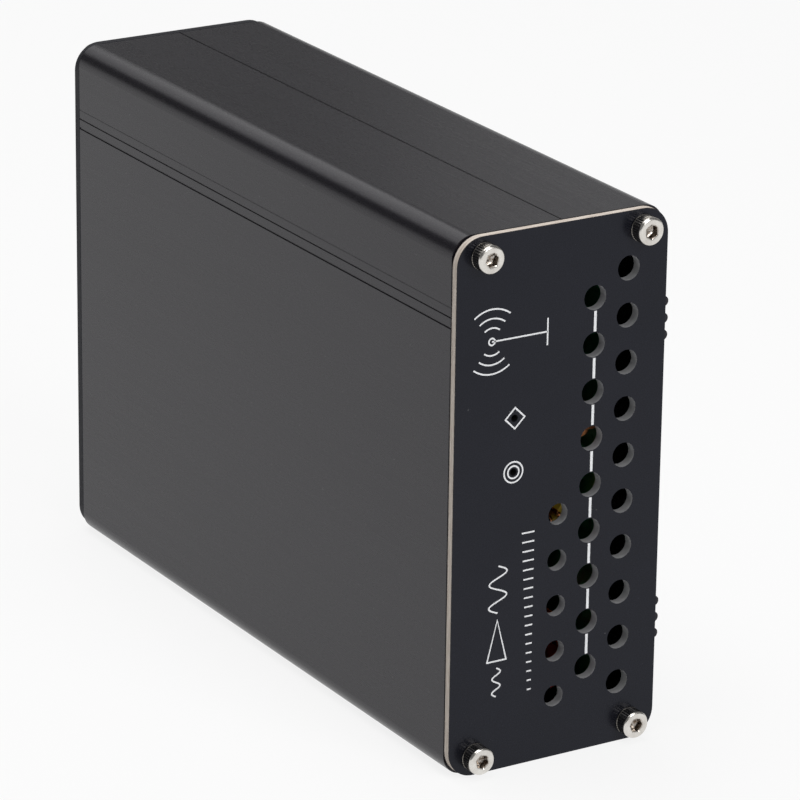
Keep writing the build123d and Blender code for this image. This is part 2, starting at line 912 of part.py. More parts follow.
with BuildPart() as transistor_bushes:
    with BuildSketch(tab_top_plane):
        with Locations(*tab_screw_places):
            Circle(bush_flange_r)
    extrude(amount=bush_flange_thickness)
    with BuildSketch(tab_top_plane):
        with Locations(*tab_screw_places):
            Circle(bush_sleeve_r)
    extrude(amount=-bush_sleeve_length)
    with BuildSketch(tab_top_plane.offset(bush_flange_thickness)):
        with Locations(*tab_screw_places):
            Circle(bush_bore_r)
    extrude(amount=-bush_flange_thickness - bush_sleeve_length, mode=Mode.SUBTRACT)
save(transistor_bushes, "transistor_bushes")

bush_top_plane = tab_top_plane.offset(bush_flange_thickness)

with BuildPart() as transistor_screws:
    with BuildSketch(bush_top_plane):
        with Locations(*tab_screw_places):
            Circle(pan_head_r)
    extrude(amount=pan_head_height)
    fillet(outward_edges(transistor_screws, bush_top_plane), radius=pan_head_round)
    with BuildSketch(bush_top_plane.offset(pan_head_height)):
        with Locations(*tab_screw_places):
            Rectangle(2 * pan_head_r, pan_slot_width)
    extrude(amount=-pan_slot_depth, mode=Mode.SUBTRACT)
    with BuildSketch(bush_top_plane):
        with Locations(*tab_screw_places):
            Circle(pan_shank_r)
    extrude(amount=-pan_screw_length)
save(transistor_screws, "transistor_screws")

# --- Output transformer ---
sleeve_heights = [mid_z - sleeve_spread, mid_z + sleeve_spread]
sleeve_places = [(output_transformer_x, z) for z in sleeve_heights]
sleeve_back = facing_front(sleeve_length / 2 - output_transformer_forward)
plate_half_length = sleeve_length / 2 + end_plate_thickness

with BuildPart() as output_sleeves:
    with BuildSketch(sleeve_back):
        with Locations(*sleeve_places):
            Circle(sleeve_r)
            Circle(sleeve_bore_r, mode=Mode.SUBTRACT)
    extrude(amount=sleeve_length)
    chamfer(
        output_sleeves.edges().filter_by(GeomType.CIRCLE).group_by(SortBy.RADIUS)[-1],
        length=sleeve_edge,
    )
save(output_sleeves, "output_sleeves")

with BuildPart() as output_tubes:
    with BuildSketch(facing_front(plate_half_length - output_transformer_forward)):
        with Locations(*sleeve_places):
            Circle(tube_r)
            Circle(tube_bore_r, mode=Mode.SUBTRACT)
    extrude(amount=2 * plate_half_length)
save(output_tubes, "output_tubes")

with BuildPart() as output_end_plates:
    for back_y in (
        plate_half_length - output_transformer_forward,
        -sleeve_length / 2 - output_transformer_forward,
    ):
        with BuildSketch(facing_front(back_y)):
            with Locations((output_transformer_x, mid_z)):
                Rectangle(end_plate_height, end_plate_width)
            with Locations(*sleeve_places):
                Circle(tube_r + tube_fit, mode=Mode.SUBTRACT)
        extrude(amount=end_plate_thickness)
save(output_end_plates, "output_end_plates")


def wire_along(name, corners, radius):
    """Round wire along straight runs between corners."""
    with BuildPart() as wire:
        with BuildLine() as route:
            Polyline(*corners)
        with BuildSketch(Plane(origin=route.line @ 0, z_dir=route.line % 0)):
            Circle(radius)
        sweep(transition=Transition.RIGHT)
    save(wire, name)


wire_along("output_winding", output_path, output_wire_r)

# --- Input transformer ---
with BuildPart() as input_core:
    with BuildSketch(facing_front(block_length / 2 - input_transformer_forward)):
        with Locations((input_transformer_x, input_transformer_z)):
            RectangleRounded(block_height, block_width, block_edge)
        with Locations(
            (input_transformer_x, input_transformer_z - block_bore_spread),
            (input_transformer_x, input_transformer_z + block_bore_spread),
        ):
            Circle(block_bore_r, mode=Mode.SUBTRACT)
    extrude(amount=block_length)
save(input_core, "input_core")
wire_along("input_winding", input_path, input_wire_r)

# --- Filter rings and supply choke ---
for name, (plane, path) in wound_rings.items():
    with BuildPart() as ring_core:
        with BuildSketch(plane):
            Circle(ring_r)
            Circle(ring_bore_r, mode=Mode.SUBTRACT)
        extrude(amount=ring_height / 2, both=True)
        chamfer(ring_core.edges().filter_by(GeomType.CIRCLE), length=ring_edge)
    save(ring_core, f"{name}_core")
    wire_along(f"{name}_winding", path, ring_wire_r)

# --- Disc capacitors ---
with BuildPart() as filter_capacitors:
    for forward, z in disc_places:
        disc_x = board_face_x - disc_stand - disc_r
        with BuildSketch(Plane.XY.offset(z)):
            with Locations((disc_x, -forward)):
                Circle(disc_r)
        extrude(amount=disc_thickness / 2, both=True)
    fillet(filter_capacitors.edges().filter_by(GeomType.CIRCLE), radius=disc_edge)
    with BuildSketch(above_board(disc_stand + disc_r)):
        with Locations(*disc_leads):
            Circle(lead_r)
    extrude(amount=-disc_stand - disc_r - lead_reach)
save(filter_capacitors, "filter_capacitors")

# --- Supply capacitors ---
with BuildPart() as supply_capacitors:
    for forward in can_forwards:
        with BuildSketch(above_board(0)):
            with Locations((forward, can_z)):
                Circle(can_r)
        extrude(amount=can_height)
    fillet(outward_edges(supply_capacitors, above_board(0)), radius=can_edge)
    for forward in can_forwards:
        with Locations(above_board(can_groove_height)):
            with Locations((forward, can_z)):
                Torus(can_r, can_groove_r, mode=Mode.SUBTRACT)
    with BuildSketch(above_board(0)):
        with Locations(*can_leads):
            Circle(lead_r)
    extrude(amount=-lead_reach)
save(supply_capacitors, "supply_capacitors")

# --- Chip parts ---
with BuildPart() as chip_parts:
    with BuildSketch(above_board(0)):
        for forward, count in chip_columns:
            with Locations((forward, mid_z - chip_column_drop)):
                with GridLocations(chip_length, chip_pitch, 1, count):
                    Rectangle(chip_length, chip_width)
    extrude(amount=chip_height)
save(chip_parts, "chip_parts")


# --- Relays ---
def relay(name, forward, z, size, leads):
    """Sealed relay case standing on the board, with its leads."""
    length, width, height = size
    with BuildPart() as case:
        with BuildSketch(above_board(0)):
            with Locations((forward, z)):
                RectangleRounded(length, width, relay_edge)
        extrude(amount=height)
        chamfer(outward_edges(case, above_board(0)), length=relay_top_edge)
        with BuildSketch(above_board(0)):
            with Locations(*leads):
                Circle(lead_r)
        extrude(amount=-lead_reach)
    save(case, name)


relay(
    "output_relay",
    output_relay_forward,
    top_board_z,
    (output_relay_length, output_relay_width, output_relay_height),
    output_relay_leads,
)
relay(
    "input_relay",
    input_relay_forward,
    input_relay_z,
    (input_relay_length, input_relay_width, input_relay_height),
    input_relay_leads,
)

# --- Bias trimmers ---
recess_floor = trimmer_height - trimmer_recess_depth

for side, (forward, z) in zip(("lower", "upper"), trimmer_places):
    with BuildPart() as trimmer:
        with BuildSketch(above_board(0)):
            with Locations((forward, z)):
                RectangleRounded(trimmer_side, trimmer_side, trimmer_edge)
        extrude(amount=trimmer_height)
        with BuildSketch(above_board(trimmer_height)):
            with Locations((forward, z)):
                Circle(trimmer_recess_r)
        extrude(amount=-trimmer_recess_depth, mode=Mode.SUBTRACT)
        with BuildSketch(above_board(0)):
            with Locations(*[(forward + along, z + up) for along, up in trimmer_pins]):
                Circle(lead_r)
        extrude(amount=-lead_reach)
    save(trimmer, f"{side}_trimmer")

    with BuildPart() as rotor:
        with BuildSketch(above_board(recess_floor + rotor_clearance)):
            with Locations((forward, z)):
                Circle(trimmer_recess_r - rotor_clearance)
        extrude(amount=trimmer_recess_depth - rotor_clearance + rotor_stand)
        with BuildSketch(above_board(trimmer_height + rotor_stand)):
            with Locations((forward, z)):
                Rectangle(2 * trimmer_recess_r, rotor_slot_width)
        extrude(amount=-rotor_slot_depth, mode=Mode.SUBTRACT)
    save(rotor, f"{side}_trimmer_rotor")

# --- Bias regulator ---
with BuildPart() as bias_regulator:
    with BuildSketch(above_board(regulator_stand)):
        with Locations((regulator_forward, regulator_z)):
            Circle(regulator_r)
        with Locations((regulator_forward - regulator_flat, regulator_z)):
            Rectangle(
                regulator_r,
                2 * regulator_r,
                align=(Align.MAX, Align.CENTER),
                mode=Mode.SUBTRACT,
            )
    extrude(amount=regulator_height)
    for step in (-1, 0, 1):
        foot_z = regulator_z + step * regulator_foot_pitch
        neck_z = regulator_z + step * regulator_pin_pitch
        with BuildLine() as lead_line:
            Polyline(
                (board_face_x - regulator_stand, -regulator_forward, neck_z),
                (board_face_x - regulator_stand / 2, -regulator_forward, foot_z),
                (lead_end_x, -regulator_forward, foot_z),
            )
        with BuildSketch(Plane(origin=lead_line.line @ 0, z_dir=lead_line.line % 0)):
            Circle(regulator_pin_r)
        sweep(path=lead_line.line, transition=Transition.RIGHT)
save(bias_regulator, "bias_regulator")

# --- Indicator lamps ---
lamp_dome_y = lamp_window_gap + lamp_r - end_u
for side, z in zip(("upper", "lower"), lamp_heights):
    with BuildPart() as lamp:
        with BuildSketch(facing_front(lamp_dome_y + lamp_barrel)):
            with Locations((lamp_x, z)):
                Circle(lamp_r)
        extrude(amount=lamp_barrel)
        with BuildSketch(facing_front(lamp_dome_y + lamp_barrel + lamp_flange_thickness)):
            with Locations((lamp_x, z)):
                Circle(lamp_flange_r)
        extrude(amount=lamp_flange_thickness)
        with Locations((lamp_x, lamp_dome_y, z)):
            Sphere(lamp_r)
    save(lamp, f"{side}_lamp")

with BuildPart() as lamp_wires:
    for z in lamp_heights:
        with BuildSketch(Plane.XY.offset(z)):
            for x, bend in lamp_bends:
                with Locations((x, -lamp_back_u)):
                    Rectangle(
                        lamp_lead_width,
                        bend + lamp_lead_width / 2,
                        align=(Align.CENTER, Align.MIN),
                    )
                with Locations((x - lamp_lead_width / 2, bend - lamp_back_u)):
                    Rectangle(
                        lead_end_x - x + lamp_lead_width / 2,
                        lamp_lead_width,
                        align=(Align.MIN, Align.CENTER),
                    )
        extrude(amount=lamp_lead_width / 2, both=True)
save(lamp_wires, "lamp_leads")


# --- Radio-frequency sockets ---
root_y = end_u - shell_root_depth
thread_end_y = end_u + shell_thread_length
barrel_end_y = thread_end_y + shell_barrel_length
tail_y = end_u - contact_tail_setback
housing_front_y = end_u - housing_depth

for name, z in (("rf_input", rf_input_z), ("rf_output", rf_output_z)):
    axis_plane = Plane(origin=(socket_x, 0, z), x_dir=(-1, 0, 0), z_dir=(0, 1, 0))

    with BuildPart() as housing:
        with BuildSketch(axis_plane.offset(housing_front_y)):
            RectangleRounded(housing_side, housing_side, housing_edge)
        extrude(amount=housing_depth)
        with BuildSketch(axis_plane.offset(root_y)):
            Circle(shell_thread_r + shell_seat_clearance)
        extrude(amount=shell_root_depth, mode=Mode.SUBTRACT)
        with BuildSketch(axis_plane.offset(housing_front_y)):
            with Locations((-housing_side / 2, 0)):
                Rectangle(
                    housing_side / 2 + contact_r + contact_fit,
                    2 * (contact_r + contact_fit),
                    align=(Align.MIN, Align.CENTER),
                )
        extrude(amount=housing_depth - shell_root_depth, mode=Mode.SUBTRACT)
    save(housing, f"{name}_housing")

    with BuildPart() as socket_shell:
        with BuildSketch(axis_plane.offset(root_y)):
            Circle(shell_thread_r)
        extrude(amount=thread_end_y - root_y)
        with BuildSketch(axis_plane.offset(thread_end_y)):
            Circle(shell_barrel_r)
        extrude(amount=shell_barrel_length)
        with BuildSketch(Plane.XY.offset(z - shell_barrel_r - lug_rise)):
            with Locations((socket_x, barrel_end_y - lug_setback)):
                Circle(lug_r)
        extrude(amount=2 * (shell_barrel_r + lug_rise))
        with BuildSketch(axis_plane.offset(root_y)):
            Circle(shell_bore_r)
        extrude(amount=barrel_end_y - root_y, mode=Mode.SUBTRACT)
        mouth_edges = outward_edges(socket_shell, axis_plane).filter_by(GeomType.CIRCLE)
        chamfer(mouth_edges.sort_by(SortBy.RADIUS)[-1], length=mouth_chamfer)
    save(socket_shell, f"{name}_shell")

    with BuildPart() as insulator:
        with BuildSketch(axis_plane.offset(root_y)):
            Circle(shell_bore_r - insulator_fit)
        extrude(amount=end_u - root_y)
        with BuildSketch(axis_plane.offset(end_u)):
            Circle(insulator_nose_r)
        extrude(amount=insulator_nose_length)
        with BuildSketch(axis_plane.offset(root_y)):
            Circle(contact_r + contact_fit)
        extrude(amount=end_u - root_y + insulator_nose_length, mode=Mode.SUBTRACT)
    save(insulator, f"{name}_insulator")

    with BuildPart() as contact:
        with BuildSketch(axis_plane.offset(tail_y)):
            Circle(contact_r)
        extrude(amount=end_u + insulator_nose_length - contact_recess - tail_y)
        with BuildSketch(above_board(board_face_x - socket_x)):
            with Locations((contact_pin_forward, z)):
                Circle(contact_pin_r)
        extrude(amount=socket_x - lead_end_x)
        with BuildSketch(axis_plane.offset(end_u + insulator_nose_length - contact_recess)):
            Circle(contact_bore_r)
        extrude(amount=-contact_bore_depth, mode=Mode.SUBTRACT)
    save(contact, f"{name}_contact")

with BuildPart() as panel_nuts:
    with BuildSketch(rear_face):
        with Locations((-socket_x, rf_input_z), (-socket_x, rf_output_z)):
            RegularPolygon(nut_flats / 2, hex_sides, major_radius=False)
            Circle(shell_thread_r + nut_fit, mode=Mode.SUBTRACT)
    extrude(amount=nut_thickness)
    with BuildSketch(rear_face):
        with Locations((-jack_x, jack_z)):
            RegularPolygon(jack_nut_flats / 2, hex_sides, major_radius=False)
            Circle(jack_bush_r + jack_nut_fit, mode=Mode.SUBTRACT)
    extrude(amount=jack_nut_thickness)
save(panel_nuts, "panel_nuts")

# --- Direct-current inlet ---
inlet_centre = (-inlet_x, inlet_z)
inlet_pin_places = [(-inlet_x, z) for z in inlet_pin_heights]

with BuildPart() as inlet_housing:
    with BuildSketch(facing_back(end_u - inlet_depth)):
        with Locations(inlet_centre):
            Rectangle(inlet_height, inlet_length)
    extrude(amount=inlet_depth)
    with BuildSketch(facing_back(end_u)):
        with Locations(inlet_centre):
            Polygon(*shroud_outline(shroud_length, shroud_height, shroud_corner), align=None)
    extrude(amount=shroud_reach)
    with BuildSketch(facing_back(end_u)):
        with Locations(inlet_centre):
            Polygon(
                *shroud_outline(
                    shroud_length - 2 * shroud_wall,
                    shroud_height - 2 * shroud_wall,
                    cavity_corner,
                ),
                align=None,
            )
    extrude(amount=shroud_reach, mode=Mode.SUBTRACT)
    with BuildSketch(facing_back(end_u)):
        with Locations(*inlet_pin_places):
            Circle(inlet_pin_r + inlet_pin_fit)
    extrude(amount=-inlet_pin_root, mode=Mode.SUBTRACT)
    with BuildSketch(above_board(0)):
        with Locations(*inlet_tail_places):
            Circle(inlet_tail_r + inlet_pin_fit)
    extrude(amount=inlet_height / 2, mode=Mode.SUBTRACT)
save(inlet_housing, "inlet_housing")

with BuildPart() as inlet_pins:
    with BuildSketch(facing_back(end_u - inlet_pin_root)):
        with Locations(*inlet_pin_places):
            Circle(inlet_pin_r)
    extrude(amount=inlet_pin_root + inlet_pin_reach)
    fillet(outward_edges(inlet_pins, rear_face), radius=inlet_pin_round)
    with BuildSketch(above_board(inlet_height / 2)):
        with Locations(*inlet_tail_places):
            Circle(inlet_tail_r)
    extrude(amount=-inlet_height / 2 - lead_reach)
save(inlet_pins, "inlet_pins")

# --- Cooling fan ---
fan_front_y = end_u - fan_depth
fan_strut_reach = fan_bore_r + fan_rim / 2
fan_plane = Plane(origin=(fan_x, fan_front_y, fan_z), x_dir=(-1, 0, 0), z_dir=(0, 1, 0))

with BuildPart() as fan_frame:
    with BuildSketch(fan_plane):
        RectangleRounded(fan_side, fan_side, fan_corner)
        Circle(fan_bore_r, mode=Mode.SUBTRACT)
    extrude(amount=fan_depth)
    with BuildSketch(fan_plane.offset(fan_depth)):
        with GridLocations(2 * fan_screw_offset, 2 * fan_screw_offset, 2, 2):
            Circle(cap_thread_hole_r)
    extrude(amount=-fan_depth, mode=Mode.SUBTRACT)
    with BuildSketch(fan_plane):
        Circle(fan_base_r)
        with PolarLocations(0, fan_strut_count, start_angle=fan_strut_start):
            Rectangle(fan_strut_reach, fan_strut_width, align=(Align.MIN, Align.CENTER))
    extrude(amount=fan_base_thickness)
    with BuildSketch(fan_plane.offset(fan_base_thickness)):
        Circle(fan_bearing_r)
    extrude(amount=fan_bearing_height)
    with BuildSketch(fan_plane.offset(fan_base_thickness)):
        Circle(fan_stator_r)
    extrude(amount=fan_stator_height)
    with BuildSketch(fan_plane):
        Circle(fan_bearing_bore_r)
    extrude(amount=fan_base_thickness + fan_bearing_height, mode=Mode.SUBTRACT)
save(fan_frame, "fan_frame")

hub_low = fan_base_thickness + fan_hub_lift
hub_high = fan_depth - fan_hub_setback
blade_planes = [
    Plane(
        origin=fan_plane.from_local_coords(
            Vector(
                (fan_hub_r - blade_root_overlap) * cos(radians(angle)),
                (fan_hub_r - blade_root_overlap) * sin(radians(angle)),
                (hub_low + hub_high) / 2,
            )
        ),
        x_dir=(0, 1, 0),
        z_dir=(-cos(radians(angle)), 0, sin(radians(angle))),
    )
    for angle in [360.0 / blade_count * index for index in range(blade_count)]
]

with BuildPart() as fan_rotor:
    with BuildSketch(fan_plane.offset(hub_low)):
        Circle(fan_hub_r)
    extrude(amount=hub_high - hub_low)
    with BuildSketch(*blade_planes):
        Rectangle(blade_chord, blade_thickness, rotation=blade_pitch)
    extrude(amount=blade_tip_r - fan_hub_r + blade_root_overlap)
    with BuildSketch(fan_plane.offset(hub_low)):
        Circle(fan_hub_r - fan_hub_wall)
    extrude(amount=hub_high - hub_low - fan_hub_cap, mode=Mode.SUBTRACT)
    with BuildSketch(fan_plane.offset(fan_shaft_end_gap)):
        Circle(fan_bearing_bore_r - fan_shaft_clearance)
    extrude(amount=hub_high - fan_shaft_end_gap)
save(fan_rotor, "fan_rotor")

# --- Keying jack ---
jack_plane = Plane(
    origin=(jack_x, end_u - jack_body_depth, jack_z), x_dir=(-1, 0, 0), z_dir=(0, 1, 0)
)

with BuildPart() as jack_body:
    with BuildSketch(jack_plane):
        RectangleRounded(jack_body_side, jack_body_side, jack_edge)
    extrude(amount=jack_body_depth)
    with BuildSketch(jack_plane.offset(jack_body_depth)):
        Circle(jack_bore_r)
    extrude(amount=-jack_bore_depth, mode=Mode.SUBTRACT)
save(jack_body, "key_jack_body")

with BuildPart() as jack_bush:
    with BuildSketch(jack_plane.offset(jack_body_depth)):
        Circle(jack_bush_r)
        Circle(jack_bore_r, mode=Mode.SUBTRACT)
    extrude(amount=jack_bush_length)
save(jack_bush, "key_jack_bush")

# --- Headers and leads ---
with BuildPart() as lead_headers:
    with BuildSketch(above_board(0)):
        with Locations(*header_places):
            Rectangle(header_length, header_width)
    extrude(amount=header_height)
    chamfer(outward_edges(lead_headers, above_board(0)), length=header_edge)
    with BuildSketch(above_board(0)):
        with Locations(*header_leads):
            Circle(lead_r)
    extrude(amount=-lead_reach)
save(lead_headers, "lead_headers")


def bent_lead(name, start, header_forward):
    """Round lead from a component's front face, bent once down into its header."""
    x, y, z = start
    with BuildPart() as lead:
        with BuildLine() as route:
            FilletPolyline(
                start,
                (x, -header_forward, z),
                (board_face_x - header_height, -header_forward, z),
                radius=wire_bend,
            )
        with BuildSketch(Plane(origin=route.line @ 0, z_dir=route.line % 0)):
            Circle(wire_r)
        sweep()
    save(lead, name)


bent_lead("fan_lead", (fan_x + fan_lead_offset, fan_front_y, fan_z), fan_header_forward)
bent_lead("key_lead", (jack_x, end_u - jack_body_depth, jack_z), key_header_forward)
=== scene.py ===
import json
import math

import bpy
import numpy as np
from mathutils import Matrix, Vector


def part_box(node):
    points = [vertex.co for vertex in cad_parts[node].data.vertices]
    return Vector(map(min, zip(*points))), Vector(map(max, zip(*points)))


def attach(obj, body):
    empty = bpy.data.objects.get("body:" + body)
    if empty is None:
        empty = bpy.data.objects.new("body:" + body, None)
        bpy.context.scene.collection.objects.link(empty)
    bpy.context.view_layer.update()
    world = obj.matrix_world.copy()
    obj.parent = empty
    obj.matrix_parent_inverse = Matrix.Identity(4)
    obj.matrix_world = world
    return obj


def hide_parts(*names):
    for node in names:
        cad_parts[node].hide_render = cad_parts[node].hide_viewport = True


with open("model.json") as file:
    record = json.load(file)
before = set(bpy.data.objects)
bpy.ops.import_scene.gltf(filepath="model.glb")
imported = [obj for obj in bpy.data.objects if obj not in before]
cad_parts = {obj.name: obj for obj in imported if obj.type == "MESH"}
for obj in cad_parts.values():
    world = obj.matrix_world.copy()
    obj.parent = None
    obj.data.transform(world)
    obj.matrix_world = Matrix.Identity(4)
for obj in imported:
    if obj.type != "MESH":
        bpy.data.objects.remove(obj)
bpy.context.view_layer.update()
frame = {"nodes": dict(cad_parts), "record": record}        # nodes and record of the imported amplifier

mm = 0.001
mainBody = "amplifier"
print("frame loaded:", len(frame["nodes"]), "nodes")


def gridFaces(rows, columns, rowsClosed, columnsClosed):
    # the quads of a rows x columns grid of points, joined round in either direction
    i = np.arange(rows if rowsClosed else rows - 1)[:, None]
    j = np.arange(columns if columnsClosed else columns - 1)[None, :]
    nextI, nextJ = (i + 1) % rows, (j + 1) % columns
    corners = [i * columns + j, i * columns + nextJ, nextI * columns + nextJ, nextI * columns + j]
    return np.stack(corners, axis=-1).reshape(-1, 4)


def enclosedVolume(points, quads, caps):
    # six times the volume: the triple products of every face, cut into a fan of triangles
    fans = [quads[:, [0, 1, 2]], quads[:, [0, 2, 3]]]
    fans += [np.stack([np.full(len(cap) - 2, cap[0]), cap[1:-1], cap[2:]], axis=1) for cap in caps]
    a, b, c = (points - points.mean(axis=0))[np.concatenate(fans)].transpose(1, 0, 2)
    return np.einsum("ij,ij->", a, np.cross(b, c))


def joinShells(shells):
    # each shell is (grid of points, rows closed, columns closed, ends capped); a shell that encloses
    # a negative volume has all its faces turned, so that every face points outwards
    verts, faces, start = [], [], 0
    for grid, rowsClosed, columnsClosed, capped in shells:
        rows, columns = grid.shape[:2]
        points = grid.reshape(-1, 3)
        quads = gridFaces(rows, columns, rowsClosed, columnsClosed)
        caps = [np.arange(columns)[::-1], (rows - 1) * columns + np.arange(columns)] if capped else []
        if enclosedVolume(points, quads, caps) < 0:
            quads, caps = quads[:, ::-1], [cap[::-1] for cap in caps]
        faces += (quads + start).tolist() + [(cap + start).tolist() for cap in caps]
        verts.append(points)
        start += rows * columns
    return np.concatenate(verts), faces


def addPiece(name, shells, slotName, finish=None, body=mainBody, replaced=(), sharpAngle=32):
    # the piece takes its slot's usual finish unless another is named
    verts, faces = joinShells(shells)
    mesh = bpy.data.meshes.new(name)
    mesh.from_pydata(verts.tolist(), [], faces)
    mesh.polygons.foreach_set("use_smooth", np.ones(len(mesh.polygons), bool))
    mesh.set_sharp_from_angle(angle=math.radians(sharpAngle))
    mesh.materials.append(finishes[finish or finishOfSlot[slotName]])
    piece = bpy.data.objects.new(name, mesh)
    bpy.context.scene.collection.objects.link(piece)
    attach(piece, body)
    if replaced:
        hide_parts(*replaced)
    return piece


def middleOf(node):
    low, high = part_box(node)
    return (low + high) / 2


def ringAngles(columns):
    return 2 * np.pi * np.arange(columns) / columns


def turned(radii, heights, centre, axis, turn=0.0, columns=72):
    # rings round an axis: row i, column j lies at angle 360 j / columns + turn, at radii[i, j] from
    # the axis and heights[i] along it
    axis = np.array(axis, float)
    first = np.array([0.0, 0.0, 1.0]) if abs(axis[0]) > 0.5 else np.array([1.0, 0.0, 0.0])
    if abs(axis[2]) > 0.5:
        first = np.array([0.0, 1.0, 0.0])
    second = np.cross(axis, first)
    angle = ringAngles(columns) + math.radians(turn)
    radii = np.broadcast_to(radii, (len(heights), columns))[..., None]
    flat = np.cos(angle)[None, :, None] * first + np.sin(angle)[None, :, None] * second
    return np.array(centre) + radii * flat + np.array(heights)[:, None, None] * axis


def turnedOutline(outline, centre, axis, columns=72):
    # an outline of (radius, height) pairs turned round an axis
    radii, heights = np.array(outline).T
    return turned(radii[:, None], heights, centre, axis, columns=columns)


def roundedCorner(radius, height, edge, count):
    # a quarter circle of an outline, from its side at radius to its top at height
    bend = np.linspace(0, np.pi / 2, count)
    return [(radius - edge + edge * math.cos(a), height - edge + edge * math.sin(a)) for a in bend]


def easedCorner(radius, height, edge, share=0.3):
    # a small corner in three points: on the side, a share of the edge in from both, and on the top
    return [(radius, height - edge), (radius - edge * share, height - edge * share), (radius - edge, height)]


def hexRadius(flats, columns):
    # distance from the centre of a hexagon to its side, at each column's angle
    offAngle = (ringAngles(columns) + np.pi / 6) % (np.pi / 3) - np.pi / 6
    return flats / 2 / np.cos(offAngle)


def threadRadius(heights, outer, pitch, depth, columns):
    # a V thread: the radius falls and rises once per pitch along the axis, and the pattern moves on
    # by one pitch per turn
    phase = np.array(heights)[:, None] / pitch - (ringAngles(columns) / (2 * np.pi))[None, :]
    return outer - depth * np.abs(2 * (phase % 1.0) - 1)


def threadedTube(before, thread, threadHeights, after, centre):
    # a closed wall round +Y: plain rings of (radius, height), the thread's rings, and plain rings
    columns = thread.shape[1]
    rings = [np.full((1, columns), radius) for radius, _ in before] + [thread]
    rings += [np.full((1, columns), radius) for radius, _ in after]
    heights = np.concatenate([[h for _, h in before], threadHeights, [h for _, h in after]])
    return turned(np.concatenate(rings), heights, centre, (0, 1, 0), columns=columns), True, True, False


def feed(tree, target, value):
    # an input is linked to an output or given its own value: a colour's alpha is 1, and one number
    # for a vector stands for all three of its parts
    if isinstance(value, bpy.types.NodeSocket):
        tree.links.new(value, target)
    elif target.type == "RGBA":
        target.default_value = (*value, 1)
    elif target.type == "VECTOR" and isinstance(value, (int, float)):
        target.default_value = (value, value, value)
    else:
        target.default_value = value


def addNode(tree, kind, **settings):
    # a node with its properties set and its inputs fed; an underscore in a setting's name stands
    # for a space in the input's, and in0, in1, in2 are inputs by number
    node = tree.nodes.new(kind)
    for key in [key for key in settings if hasattr(node, key)]:
        setattr(node, key, settings.pop(key))
    for key, value in settings.items():
        label = int(key[2:]) if key in ("in0", "in1", "in2") else key.replace("_", " ")
        feed(tree, node.inputs[label], value)
    return node


def mathNode(tree, operation, first, second=0.0, third=0.0):
    return addNode(tree, "ShaderNodeMath", operation=operation, in0=first, in1=second, in2=third).outputs[0]


def mixColours(tree, factor, first, second):
    # inputs 0, 6 and 7 of the colour mix are its factor and its two colours
    node = addNode(tree, "ShaderNodeMix", data_type="RGBA")
    for index, value in ((0, factor), (6, first), (7, second)):
        feed(tree, node.inputs[index], value)
    return node.outputs[2]


def ranged(tree, value, fromMin, fromMax, toMin, toMax):
    node = addNode(tree, "ShaderNodeMapRange", Value=value, From_Min=fromMin, From_Max=fromMax,
                   To_Min=toMin, To_Max=toMax)
    return node.outputs["Result"]


def objectPlace(tree):
    return addNode(tree, "ShaderNodeTexCoord").outputs["Object"]


def facesAside(tree, axis, limit):
    # 1 where the surface looks away from axis 0, 1 or 2, as a cut edge or a drilled wall does
    face = addNode(tree, "ShaderNodeNewGeometry").outputs["True Normal"]
    normal = addNode(tree, "ShaderNodeSeparateXYZ", Vector=face).outputs[axis]
    return mathNode(tree, "LESS_THAN", mathNode(tree, "ABSOLUTE", normal), limit)


noise = dict(roughness=0.6, driftDetail=3.0, spread=(0.3, 0.7))    # nearly all values lie in the spread


def stretchedNoise(tree, stretch, detail):
    scaled = addNode(tree, "ShaderNodeVectorMath", operation="MULTIPLY", in0=objectPlace(tree), in1=stretch)
    texture = addNode(tree, "ShaderNodeTexNoise", Vector=scaled.outputs[0], Scale=1.0, Detail=detail,
                      Roughness=noise["roughness"])
    return texture.outputs["Fac"]


def newGroup(name, inputs, outputs):
    # each input has a starting value, which a material that places the group sets for itself
    group = bpy.data.node_groups.new(name, "ShaderNodeTree")
    for label, kind, value in inputs:
        socket = group.interface.new_socket(label, in_out="INPUT", socket_type="NodeSocket" + kind)
        socket.default_value = value
    for label, kind in outputs:
        group.interface.new_socket(label, in_out="OUTPUT", socket_type="NodeSocket" + kind)
    return group, group.nodes.new("NodeGroupInput").outputs, group.nodes.new("NodeGroupOutput").inputs


def driftGroup():
    # broad drift between two shades, by noise that may be stretched along an axis
    group, given, made = newGroup(
        "shadeDrift",
        [("Dark", "Color", (0.1, 0.1, 0.1, 1)), ("Light", "Color", (0.2, 0.2, 0.2, 1)),
         ("Stretch", "Vector", (100, 100, 100))],
        [("Color", "Color")],
    )
    broad = stretchedNoise(group, given["Stretch"], noise["driftDetail"])
    value = ranged(group, broad, *noise["spread"], 0.0, 1.0)
    group.links.new(mixColours(group, value, given["Dark"], given["Light"]), made["Color"])
    return group


def grainGroup():
    # fine surface texture: its height as a value, and the normal that it gives
    group, given, made = newGroup(
        "surfaceGrain",
        [("Stretch", "Vector", (3000, 3000, 3000)), ("Detail", "Float", 4.0), ("Strength", "Float", 0.1),
         ("Depth", "Float", 0.00002)],
        [("Value", "Float"), ("Normal", "Vector")],
    )
    value = stretchedNoise(group, given["Stretch"], given["Detail"])
    bump = addNode(group, "ShaderNodeBump", Strength=given["Strength"], Distance=given["Depth"], Height=value)
    group.links.new(value, made["Value"])
    group.links.new(bump.outputs["Normal"], made["Normal"])
    return group


